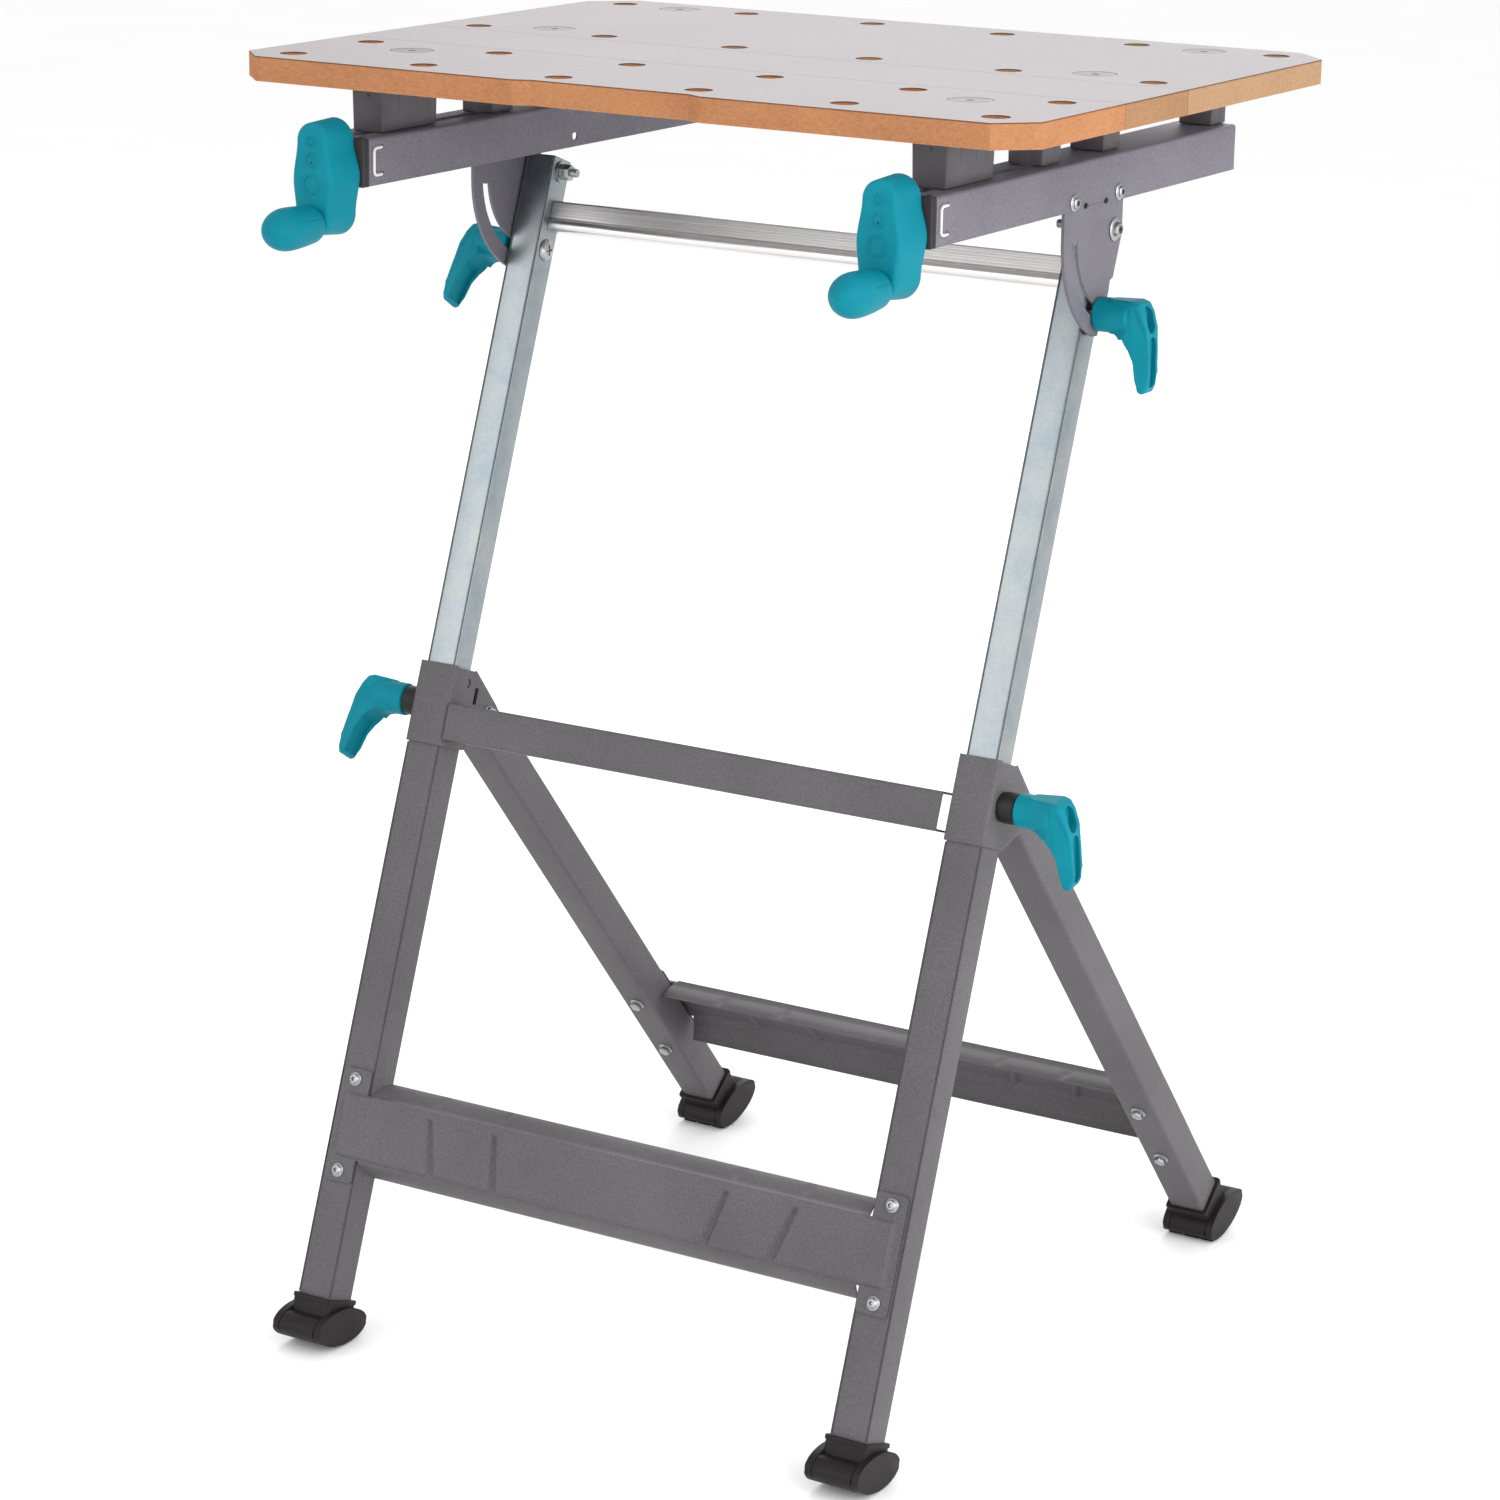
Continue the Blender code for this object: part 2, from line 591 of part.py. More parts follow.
def rear_leg(side_name, side):
    """Its frame's origin is the fold pivot, so it runs from just above it down to the foot."""
    x = side * LEG_X
    piece = square_tube(x, 0.0, (-REAR_REACH + 0.030, REAR_LEG_TOP), LEG, LEG_WALL)
    cut(piece, cross_rod(x, 0.0, 0.0, FOLD_BOLT_R + GAP, 0.03))
    finish(f"rear_leg_{side_name}", piece, fold_frame, "paint", smooth=False)


def cross_bar():
    """Grooved aluminium bar between the uprights."""
    reach = LEG_X - UPRIGHT / 2 - GAP
    piece = box((-reach, CROSS_BAR_N[0], CROSS_BAR_SPAN[0]), (reach, CROSS_BAR_N[1], CROSS_BAR_SPAN[1]))
    finish("cross_bar", rounded(piece, 0.003, 2), height_frame, "aluminium")


def ear_outline():
    """Collar side plate in (n, s): it reaches back to carry the fold pivot."""
    low, high = COLLAR_SPAN
    front = -GAP - COLLAR_SHEET
    return [(front, low), (0.0295, low), (0.0505, 0.4885), (0.0655, 0.4985), (0.0695, 0.5045),
            (0.0680, 0.5115), (0.0640, 0.5145), (0.0275, high), (front, high)]


def collar(side_name, side):
    """Folded sleeve over the top of the front leg, with ears for the rear leg."""
    x = side * LEG_X
    front = -GAP - COLLAR_SHEET
    piece = box((x - COLLAR_HALF, front, COLLAR_SPAN[0]), (x + COLLAR_HALF, front + COLLAR_SHEET, COLLAR_SPAN[1]))
    inner = COLLAR_HALF - COLLAR_SHEET
    join(piece, plate(ear_outline(), x - COLLAR_HALF, x - inner, "YZ"),
         plate(ear_outline(), x + inner, x + COLLAR_HALF, "YZ"))
    inside = x - side * COLLAR_HALF
    latch_slot = box((inside - 0.004, 0.0312, 0.5106), (inside + 0.004, 0.0352, 0.5236))
    outside = x + side * COLLAR_HALF
    cut(piece, cross_rod(x, FOLD_N, FOLD_S, FOLD_BOLT_R + GAP, 0.03), latch_slot,
        rod((outside - side * 0.004, LEG_MID, CLAMP_S), (outside + side * 0.004, LEG_MID, CLAMP_S), STUD_R + GAP))
    finish(f"collar_{side_name}", piece, front_frame, "paint", smooth=False)


def upper_bar():
    """Channel between the collars; its web stops short on the right, its lower flange doesn't."""
    reach = COLLAR_IN - GAP
    web_end = reach - UPPER_BAR_END_GAP
    low, high = UPPER_BAR_SPAN
    piece = box((-reach, UPPER_BAR_FRONT, low), (web_end, UPPER_BAR_DEPTH, high))
    cut(piece, box((-reach - 0.01, UPPER_BAR_FRONT + SHEET, low + SHEET), (web_end + 0.01, UPPER_BAR_DEPTH + 0.01, high - SHEET)))
    join(piece, box((web_end - 0.01, 0.004, low), (reach, UPPER_BAR_DEPTH, low + SHEET)))
    finish("upper_bar", piece, front_frame, "paint", smooth=False)


# ---------------------------------------------------------------- lower panels
def lower_panel(name, frame, face, back, shift):
    """Pressed sheet across two legs: ears on the leg faces, a web and two flanges.

    face is where the sheet meets the legs, back the direction of the flanges."""
    low, high = PANEL_SPAN[0] + shift, PANEL_SPAN[1] + shift
    ear_low, ear_high = PANEL_EAR_SPAN[0] + shift, PANEL_EAR_SPAN[1] + shift
    outer = face - back * (GAP + PANEL_SHEET)
    inner = face - back * GAP
    near, far = min(outer, inner), max(outer, inner)
    reach = LEG_X + LEG / 2 - 0.003
    flange_end = LEG_X - LEG / 2 - 0.002
    piece = box((-reach, near, low), (reach, far, high))
    ears = [box((side * reach - (0 if side < 0 else PANEL_EAR_W), near, ear_low),
                (side * reach + (PANEL_EAR_W if side < 0 else 0), far, ear_high)) for _, side in SIDES]
    top = [(outer, high - 0.002), (outer + back * PANEL_FLANGE_BACK, high - 0.002 + PANEL_FLANGE_RISE),
           (outer + back * PANEL_FLANGE_BACK, high - 0.002 + PANEL_FLANGE_RISE - PANEL_SHEET),
           (inner, high - 0.004 - PANEL_SHEET)]
    lip = box((-flange_end, min(outer, outer + back * PANEL_LIP_BACK), low),
              (flange_end, max(outer, outer + back * PANEL_LIP_BACK), low + PANEL_SHEET))
    join(piece, *ears, plate(top, -flange_end, flange_end, "YZ"), lip)
    finish(name, piece, frame, "paint", smooth=False)


# ---------------------------------------------------------------- feet
def foot(name, x, y, tilt, frame, sleeve_low, sleeve_top, sleeve_n):
    """An oval roller-shaped pad along X, with a sleeve that the leg stands in."""
    bm = bmesh.new()
    drop = ((FOOT_A * sin(tilt)) ** 2 + (FOOT_B * cos(tilt)) ** 2) ** 0.5
    height = drop + SOLE_RISE
    lowest_y = y - (FOOT_A ** 2 - FOOT_B ** 2) * sin(tilt) * cos(tilt) / drop
    shape = Matrix.Rotation(tilt, 4, "X") @ Matrix.Diagonal((1, FOOT_A / FOOT_B, 1, 1)) @ Matrix.Rotation(pi / 2, 4, "Y")
    bmesh.ops.create_cone(bm, cap_ends=True, segments=28, radius1=FOOT_B, radius2=FOOT_B, depth=FOOT_L,
                          matrix=Matrix.Translation((x, y, height)) @ shape)
    piece = mesh_object(name, bm)
    sole_half = FOOT_L / 2 - 0.002
    join(piece, box((x - sole_half, lowest_y - SOLE_W / 2, 0.0), (x + sole_half, lowest_y + SOLE_W / 2, height / 2)))
    to_frame(piece, frame)
    half = LEG / 2 + GAP + FOOT_SLEEVE
    join(piece, box((x - half, sleeve_n - half, sleeve_low), (x + half, sleeve_n + half, sleeve_top)))
    hollow = LEG / 2 + GAP
    cut(piece, box((x - hollow, sleeve_n - hollow, sleeve_low + 0.008), (x + hollow, sleeve_n + hollow, sleeve_top + 0.02)))
    finish(name, piece, frame, "rubber")


for side_name, side in SIDES:
    front_leg(side_name, side)
    upright(side_name, side)
    rear_leg(side_name, side)
    collar(side_name, side)
    foot(f"front_foot_{side_name}", side * LEG_X, FRONT_FOOT_Y, FRONT_FOOT_TILT, front_frame,
         FRONT_LEG_SPAN[0] - 0.0083, FRONT_SLEEVE_TOP, LEG_MID)
    foot(f"rear_foot_{side_name}", side * LEG_X, REAR_FOOT_Y, REAR_FOOT_TILT, fold_frame,
         -REAR_REACH + 0.030 - 0.0083, -REAR_REACH + REAR_SLEEVE_TOP, 0.0)
cross_bar()
upper_bar()
lower_panel("front_lower_panel", front_frame, 0.0, 1, 0.0)
lower_panel("rear_lower_panel", fold_frame, LEG / 2, -1, REAR_PANEL_SHIFT - REAR_REACH)


# ---------------------------------------------------------------- bolts, bushes, latches
def tilt_pivot_bolt(side_name, side):
    """Flanged head outside the bracket, washer and two nuts inside the upright."""
    head = rod((side * (BRACKET_OUT + GAP), LEG_MID, TILT_S), (side * (BRACKET_OUT + 0.0018), LEG_MID, TILT_S), 0.0075)
    inner = LEG_X - UPRIGHT / 2 - GAP
    join(head,
         rod((side * (BRACKET_OUT + 0.001), LEG_MID, TILT_S), (side * (BRACKET_OUT + 0.005), LEG_MID, TILT_S), 0.0052),
         rod((side * (inner - 0.017), LEG_MID, TILT_S), (side * (BRACKET_OUT + 0.002), LEG_MID, TILT_S), TILT_BOLT_R),
         rod((side * (inner - 0.0015), LEG_MID, TILT_S), (side * inner, LEG_MID, TILT_S), 0.0085),
         rod((side * (inner - 0.013), LEG_MID, TILT_S), (side * (inner - 0.001), LEG_MID, TILT_S), 0.0062, 6))
    washer = rod((side * (LEG_X + UPRIGHT / 2 + GAP), LEG_MID, TILT_S),
                 (side * (BRACKET_X - BRACKET_T / 2 - GAP), LEG_MID, TILT_S), 0.008)
    finish(f"tilt_pivot_bolt_{side_name}", join(head, washer), height_frame, "zinc")


def tilt_clamp_bolt(side_name, side):
    """Round head inside the upright; its shank runs through the slot into the lever."""
    s = TILT_S - TILT_CLAMP_DROP
    inner = LEG_X - UPRIGHT / 2 - GAP
    head = rod((side * inner, LEG_MID, s), (side * (inner - 0.0035), LEG_MID, s), 0.0085, end_radius=0.0055)
    join(head, rod((side * (inner - 0.001), LEG_MID, s), (side * (BRACKET_OUT + 0.018), LEG_MID, s), STUD_R))
    finish(f"tilt_clamp_bolt_{side_name}", head, height_frame, "zinc")


def fold_pivot_bolt(side_name, side):
    """Holds the rear leg between the collar's ears."""
    head = rod((side * (COLLAR_IN - 0.004), FOLD_N, FOLD_S), (side * (COLLAR_IN - GAP), FOLD_N, FOLD_S), 0.0075, 6)
    join(head,
         rod((side * (COLLAR_IN - 0.001), FOLD_N, FOLD_S), (side * (COLLAR_OUT + 0.001), FOLD_N, FOLD_S), FOLD_BOLT_R),
         rod((side * (COLLAR_OUT + GAP), FOLD_N, FOLD_S), (side * (COLLAR_OUT + 0.0045), FOLD_N, FOLD_S), 0.0075))
    finish(f"fold_pivot_bolt_{side_name}", head, front_frame, "zinc")


def spacer_bush(side_name, side):
    """Stands the height lever off the collar."""
    piece = rod((side * (COLLAR_OUT + GAP), LEG_MID, CLAMP_S), (side * (COLLAR_OUT + BUSH_L), LEG_MID, CLAMP_S), BUSH_R)
    cut(piece, cross_rod(side * COLLAR_OUT, LEG_MID, CLAMP_S, STUD_R + GAP, 0.03))
    finish(f"spacer_bush_{side_name}", piece, front_frame, "black")


def fold_latch(side_name, side):
    """Catch between the ears, seen through the slot in the inner one."""
    x = side * LEG_X
    piece = box((x - LEG / 2, LEG + GAP, 0.5130), (x + LEG / 2, 0.0328, 0.5250))
    finish(f"fold_latch_{side_name}", piece, front_frame, "black", smooth=False)


# ---------------------------------------------------------------- clamp levers
def lever_outline():
    """Bent arm in (x out, z) from the hub's inner end on the lever's axis."""
    return [(0.012, 0.0130), (0.033, 0.0135), (0.0385, 0.0118), (0.0425, 0.0050), (0.0452, -0.0060),
            (0.0468, -0.0200), (0.0475, -0.0400), (0.0468, -0.0490), (0.0440, -0.0545), (0.0412, -0.0555),
            (0.0385, -0.0535), (0.0370, -0.0450), (0.0352, -0.0320), (0.0325, -0.0215), (0.0285, -0.0155),
            (0.0235, -0.0131), (0.012, -0.0130)]


def clamp_lever(name, side, start, y, z, rest, parent, stud_reach):
    """Hub and arm, with a bore or a stud, turning about X through (y, z)."""
    frame = empty(f"{name}_axis", (0, y, z), 0.0, parent)
    arm = plate([(side * (start + u), v) for u, v in lever_outline()], -LEVER_W / 2, LEVER_W / 2, "XZ")
    rounded(arm, 0.0032, 2, 60)
    hub = rod((side * start, 0, 0), (side * (start + LEVER_HUB_L), 0, 0), LEVER_HUB_R, 24)
    join(arm, hub)
    if stud_reach:
        join(arm, rod((side * (start + 0.005), 0, 0), (side * (start - stud_reach), 0, 0), STUD_R))
    else:
        cut(arm, rod((side * (start - 0.01), 0, 0), (side * (start + 0.0185), 0, 0), STUD_R + GAP))
    arm.data.transform(Matrix.Rotation(rest, 4, "X"))
    finish(name, arm, frame, "teal")


for index, (side_name, side) in enumerate(SIDES):
    tilt_pivot_bolt(side_name, side)
    tilt_clamp_bolt(side_name, side)
    fold_pivot_bolt(side_name, side)
    spacer_bush(side_name, side)
    fold_latch(side_name, side)
    clamp_lever(f"tilt_lever_{side_name}", side, BRACKET_OUT + GAP, CLAMP_Y, CLAMP_Z,
                TILT_LEVER_REST[index], height_frame, 0.0)
    clamp_lever(f"height_lever_{side_name}", side, COLLAR_OUT + BUSH_L + GAP, HEIGHT_CLAMP_Y, HEIGHT_CLAMP_Z,
                HEIGHT_LEVER_REST[index], front_frame, BUSH_L + COLLAR_SHEET + LEG_WALL + 2 * GAP)


front_frame.matrix_world = Matrix.Translation((0, CENTRING, 0)) @ parent_world[front_frame.name]
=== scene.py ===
"""The folding work bench as it looks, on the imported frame."""

import json
from math import atan2, cos, pi, radians, sin

import bmesh
import bpy
from mathutils import Matrix, Vector


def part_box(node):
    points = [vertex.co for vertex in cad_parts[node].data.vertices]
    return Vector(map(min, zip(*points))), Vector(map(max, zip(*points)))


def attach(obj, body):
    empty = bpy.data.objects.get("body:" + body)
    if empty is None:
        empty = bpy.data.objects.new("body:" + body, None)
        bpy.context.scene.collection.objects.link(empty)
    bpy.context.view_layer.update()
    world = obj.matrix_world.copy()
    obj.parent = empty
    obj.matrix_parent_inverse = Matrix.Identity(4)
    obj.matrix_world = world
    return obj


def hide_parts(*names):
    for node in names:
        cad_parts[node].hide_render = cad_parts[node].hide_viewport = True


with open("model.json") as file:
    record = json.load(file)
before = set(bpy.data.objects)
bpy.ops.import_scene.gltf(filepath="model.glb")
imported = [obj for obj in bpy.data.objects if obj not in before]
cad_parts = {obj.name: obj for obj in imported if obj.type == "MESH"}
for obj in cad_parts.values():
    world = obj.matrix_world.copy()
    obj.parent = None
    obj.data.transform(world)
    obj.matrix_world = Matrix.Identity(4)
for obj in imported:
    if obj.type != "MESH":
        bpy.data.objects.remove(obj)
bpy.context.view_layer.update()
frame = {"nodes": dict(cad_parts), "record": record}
record = frame["record"]
joints = {j["name"]: j for j in record["behaviour"]["joints"]}
node = frame["nodes"]
SIDES = (("left", -1), ("right", 1))
LEG_X = 0.236  # middle of each leg
LEG_N = 0.015  # middle of a front leg behind its front face
FOLD_N = 0.0545  # the fold's pivot behind it
PIVOT_S, CLAMP_S, HEIGHT_S = 0.928, 0.866, 0.505  # tilt pivot, tilt clamp and height clamp up the leg

# ---- the two leaning frames that the leg parts are drawn in ----
slide = Vector(joints["height_slide"]["axis"])
LEAN = atan2(slide.y, slide.z)
CENTRING = -0.0021  # pieces are drawn with the front of the top at y -0.252 and moved by this
FOLD = Vector(joints["leg_fold"]["pos_m"]) - Vector((0, CENTRING, 0))
REAR_LEAN = radians(40.7)
REAR_REACH = FOLD.z / cos(REAR_LEAN)
FRONT = Matrix.Translation((0, -0.3, 0)) @ Matrix.Rotation(-LEAN, 4, "X")
_, CLAMP_Y, CLAMP_Z = FRONT @ Vector((0, LEG_N, CLAMP_S))
_, HEIGHT_Y, HEIGHT_Z = FRONT @ Vector((0, LEG_N, HEIGHT_S))
REAR = Matrix.Translation(FOLD) @ Matrix.Rotation(REAR_LEAN, 4, "X")
PANEL_REAR = REAR @ Matrix.Translation((0, 0, -0.008 - REAR_REACH))
ACROSS = Matrix(((0, 0, 1, 0), (1, 0, 0, 0), (0, 1, 0, 0), (0, 0, 0, 1)))  # X, Y, Z become Y, Z, X


def linked(name, data):
    """A new object in the scene."""
    made = bpy.data.objects.new(name, data)
    bpy.context.scene.collection.objects.link(made)
    return made


# ---- camera and light ----
YAW, PITCH, ROLL = radians(30.91), radians(15.73), radians(0.93)
forward = Vector((-sin(YAW) * cos(PITCH), cos(YAW) * cos(PITCH), -sin(PITCH)))
level = Vector((cos(YAW), sin(YAW), 0))
upward = level.cross(forward)
right = level * cos(ROLL) + upward * sin(ROLL)
up = upward * cos(ROLL) - level * sin(ROLL)
camera = linked("camera", bpy.data.cameras.new("camera"))
camera.data.sensor_width = 36.0
camera.data.lens = 102.8
camera.data.clip_end = 50
camera.matrix_world = Matrix((right, up, -forward)).transposed().to_4x4()
camera.location = (1.6088, -2.7322, 1.3371)
bpy.context.scene.camera = camera


def area_light(name, place, target, size, power):
    light = bpy.data.lights.new(name, "AREA")
    light.shape = "RECTANGLE"
    light.size, light.size_y = size
    light.energy = power
    lamp = linked(name, light)
    lamp.location = place
    lamp.rotation_euler = (Vector(target) - Vector(place)).to_track_quat("-Z", "Y").to_euler()


area_light("key_light", (-2.4, -4.6, 2.6), (0, 0, 0.5), (5.0, 4.0), 90)
area_light("side_light", (3.4, -0.9, 1.7), (0, 0, 0.6), (3.6, 3.4), 112)
area_light("back_light", (-1.2, 3.4, 2.6), (0, 0, 0.6), (3.0, 3.0), 50)
bpy.context.scene.view_settings.view_transform = "Standard"

world = bpy.data.worlds.new("studio")
world.use_nodes = True
world.node_tree.nodes["Background"].inputs["Color"].default_value = (1.0, 1.0, 1.0, 1.0)
world.node_tree.nodes["Background"].inputs["Strength"].default_value = 0.98
bpy.context.scene.world = world


# ---- materials ----
class Shader:
    """A Principled material whose sockets take procedural inputs."""

    def __init__(self, name, roughness, metallic=0.0, gloss=0.3):
        self.material = bpy.data.materials.new(name)
        self.material.use_nodes = True
        self.tree = self.material.node_tree
        self.main = self.tree.nodes["Principled BSDF"]
        self.main.inputs["Roughness"].default_value = roughness
        self.main.inputs["Metallic"].default_value = metallic
        self.main.inputs["Specular IOR Level"].default_value = 0.5 if metallic else gloss

    def add(self, kind, **sockets):
        made = self.tree.nodes.new(kind)
        for key, value in sockets.items():
            made.inputs[key.replace("_", " ")].default_value = value
        return made

    def link(self, out, into):
        self.tree.links.new(out, into)

    def place(self, scale=(1, 1, 1)):
        """Object coordinates, stretched by scale."""
        coords = self.tree.nodes.new("ShaderNodeTexCoord")
        mapping = self.tree.nodes.new("ShaderNodeMapping")
        mapping.inputs["Scale"].default_value = scale
        self.link(coords.outputs["Object"], mapping.inputs["Vector"])
        return mapping.outputs["Vector"]

    def noise(self, scale, detail=3.0, where=None, roughness=0.55):
        made = self.add("ShaderNodeTexNoise", Scale=scale, Detail=detail, Roughness=roughness)
        self.link(where or self.place(), made.inputs["Vector"])
        return made.outputs["Fac"]

    def ramp(self, fac, stops):
        """Colours along a factor; a stop's colour is a triple, or a number for a grey."""
        made = self.tree.nodes.new("ShaderNodeValToRGB")
        while len(made.color_ramp.elements) < len(stops):
            made.color_ramp.elements.new(0.5)
        for element, (at, colour) in zip(made.color_ramp.elements, stops):
            element.position = at
            element.color = (*(colour if isinstance(colour, tuple) else [colour] * 3), 1.0)
        self.link(fac, made.inputs["Fac"])
        return made.outputs["Color"]

    def mix(self, fac, a, b, blend="MIX"):
        made = self.tree.nodes.new("ShaderNodeMix")
        made.data_type = "RGBA"
        made.blend_type = blend
        for socket, value in ((made.inputs["Factor"], fac), (made.inputs["A"], a), (made.inputs["B"], b)):
            if isinstance(value, bpy.types.NodeSocket):
                self.link(value, socket)
            elif isinstance(value, (int, float)):
                socket.default_value = value
        return made.outputs["Result"]

    def colour(self, out):
        self.link(out, self.main.inputs["Base Color"])
        return self

    def rough(self, fac, low, high):
        made = self.add("ShaderNodeMapRange")
        made.inputs["To Min"].default_value = low
        made.inputs["To Max"].default_value = high
        self.link(fac, made.inputs["Value"])
        self.link(made.outputs["Result"], self.main.inputs["Roughness"])
        return self

    def bump(self, fac, strength, distance):
        made = self.add("ShaderNodeBump", Strength=strength, Distance=distance)
        self.link(fac, made.inputs["Height"])
        self.link(made.outputs["Normal"], self.main.inputs["Normal"])
        return self


def painted_steel(name, tint):
    """Powder coat with a fine orange-peel grain."""
    s = Shader(name, 0.5, gloss=0.22)
    grain = s.noise(1500, 3)
    cloud = s.noise(9, 3)
    base = s.ramp(cloud, [(0.35, tuple(c * 0.9 for c in tint)), (0.65, tuple(c * 1.08 for c in tint))])
    speck = s.ramp(grain, [(0.38, 0.72), (0.5, 1.0), (0.64, (1.3, 1.29, 1.28))])
    s.colour(s.mix(1.0, base, speck, "MULTIPLY"))
    return s.rough(grain, 0.42, 0.6).bump(grain, 0.35, 0.0003).material


def zinc():
    """Blue passivated zinc: cloudy, faintly spangled."""
    s = Shader("zinc_plate", 0.3, 1.0)
    cloud = s.noise(38, 5, roughness=0.65)
    fine = s.noise(900, 3)
    base = s.ramp(cloud, [(0.3, (0.25, 0.29, 0.31)), (0.5, (0.31, 0.335, 0.345)),
                          (0.68, (0.36, 0.37, 0.352))])
    tint = s.ramp(fine, [(0.35, (0.86, 0.89, 0.93)), (0.65, 1.0)])
    s.colour(s.mix(1.0, base, tint, "MULTIPLY"))
    return s.rough(cloud, 0.3, 0.46).bump(fine, 0.12, 0.0002).material


def steel():
    """Bright fasteners with a faint fine grain."""
    s = Shader("bright_steel", 0.25, 1.0)
    fine = s.noise(700, 3)
    s.colour(s.ramp(fine, [(0.3, (0.29, 0.3, 0.3)), (0.7, (0.42, 0.43, 0.43))]))
    return s.rough(fine, 0.26, 0.42).bump(fine, 0.08, 0.0002).material


def aluminium():
    """Extrusion lines along X."""
    s = Shader("extruded_aluminium", 0.3, 1.0)
    lines = s.noise(1.0, 4, s.place((3, 1400, 1400)))
    cloud = s.noise(14, 2)
    base = s.ramp(lines, [(0.3, (0.6, 0.59, 0.585)), (0.7, (0.76, 0.75, 0.745))])
    s.colour(s.mix(0.25, base, s.ramp(cloud, [(0.3, (0.58, 0.58, 0.57)), (0.7, (0.8, 0.79, 0.78))])))
    return s.rough(lines, 0.24, 0.4).bump(lines, 0.1, 0.0002).material


def teal_plastic():
    """Moulded plastic with a fine spark-eroded grain."""
    s = Shader("teal_plastic", 0.5, gloss=0.09)
    grain = s.noise(1700, 3)
    cloud = s.noise(28, 2)
    base = s.ramp(cloud, [(0.35, (0.001, 0.172, 0.228)), (0.65, (0.002, 0.196, 0.256))])
    s.colour(s.mix(1.0, base, s.ramp(grain, [(0.35, 0.93), (0.65, 1.04)]), "MULTIPLY"))
    return s.rough(grain, 0.42, 0.58).bump(grain, 0.25, 0.0002).material


def dark_plastic(name, colour, roughness=0.5, grain_scale=1500):
    """Moulded plastic or plain coating: a soft cloud under a fine grain."""
    s = Shader(name, roughness, gloss=0.2)
    grain = s.noise(grain_scale, 3)
    cloud = s.noise(30, 3)
    low = tuple(c * 0.86 for c in colour)
    high = tuple(min(1.0, c * 1.14) for c in colour)
    s.colour(s.mix(1.0, s.ramp(cloud, [(0.3, low), (0.7, high)]),
                   s.ramp(grain, [(0.35, 0.88), (0.65, 1.06)]), "MULTIPLY"))
    return s.rough(grain, roughness - 0.08, roughness + 0.1).bump(grain, 0.2, 0.0002).material


def board(name, edge_dark, edge_light):
    """Laminate above and below, wood fibre on the sides, told apart by the face's own normal."""
    s = Shader(name, 0.45, gloss=0.05)
    coords = s.tree.nodes.new("ShaderNodeTexCoord")
    normal = s.tree.nodes.new("ShaderNodeSeparateXYZ")
    s.link(coords.outputs["Normal"], normal.inputs["Vector"])
    facing = s.tree.nodes.new("ShaderNodeMath")
    facing.operation = "ABSOLUTE"
    s.link(normal.outputs["Z"], facing.inputs[0])
    flat = s.ramp(facing.outputs[0], [(0.55, 0), (0.8, 1)])
    place = s.tree.nodes.new("ShaderNodeSeparateXYZ")
    s.link(coords.outputs["Object"], place.inputs["Vector"])
    # laminate
    speck = s.noise(950, 2)
    streak = s.noise(1.0, 3, s.place((70, 900, 900)))
    cloud = s.noise(6, 2)
    top = s.ramp(speck, [(0.36, (0.32, 0.298, 0.305)), (0.5, (0.405, 0.38, 0.388)),
                         (0.64, (0.46, 0.435, 0.443))])
    top = s.mix(0.3, top, s.ramp(streak, [(0.3, (0.34, 0.317, 0.324)), (0.7, (0.47, 0.443, 0.45))]))
    top = s.mix(0.18, top, s.ramp(cloud, [(0.3, (0.365, 0.34, 0.347)), (0.7, (0.45, 0.424, 0.431))]))
    # wood fibre
    fibre = s.noise(1.0, 5, s.place((190, 190, 1500)), 0.7)
    flake = s.noise(1.0, 3, s.place((420, 420, 800)))
    band = s.noise(11, 2)
    wood = s.ramp(fibre, [(0.3, edge_dark), (0.7, edge_light)])
    wood = s.mix(0.35, wood, s.ramp(flake, [(0.35, tuple(c * 0.75 for c in edge_dark)), (0.65, edge_light)]))
    wood = s.mix(0.3, wood, s.ramp(band, [(0.3, edge_dark), (0.7, edge_light)]))
    rise = s.add("ShaderNodeMapRange")
    rise.inputs["From Min"].default_value = 0.958
    rise.inputs["From Max"].default_value = 0.976
    s.link(place.outputs["Z"], rise.inputs["Value"])
    rim = s.ramp(rise.outputs["Result"], [(0.0, 1.1), (0.05, 1), (0.935, 1),
                                          (0.96, (0.42, 0.38, 0.38))])
    wood = s.mix(1.0, wood, rim, "MULTIPLY")
    s.colour(s.mix(flat, wood, top))
    s.rough(flat, 0.8, 0.55)
    grain = s.mix(flat, fibre, speck)
    return s.bump(grain, 0.18, 0.0003).material


PAINT = painted_steel("powder_coat", (0.092, 0.088, 0.092))
BEAM_PAINT = painted_steel("beam_powder_coat", (0.14, 0.133, 0.158))
ZINC = zinc()
STEEL = steel()
ALUMINIUM = aluminium()
TEAL = teal_plastic()
BLOCK = dark_plastic("block_plastic", (0.092, 0.084, 0.092), 0.45)
CAP = dark_plastic("cap_plastic", (0.028, 0.026, 0.029), 0.5)
FOOT = dark_plastic("foot_plastic", (0.011, 0.009, 0.01), 0.5, 1100)
BLACK = dark_plastic("black_plastic", (0.014, 0.014, 0.014), 0.45)
DISC = dark_plastic("disc_plastic", (0.16, 0.16, 0.17), 0.42, 900)
FRONT_BOARD = board("front_board", (0.29, 0.122, 0.054), (0.47, 0.225, 0.108))
MIDDLE_BOARD = board("middle_board", (0.25, 0.13, 0.066), (0.37, 0.215, 0.118))
REAR_BOARD = board("rear_board", (0.29, 0.17, 0.092), (0.42, 0.27, 0.16))
CLIP = dark_plastic("white_zinc", (0.62, 0.62, 0.62), 0.35)
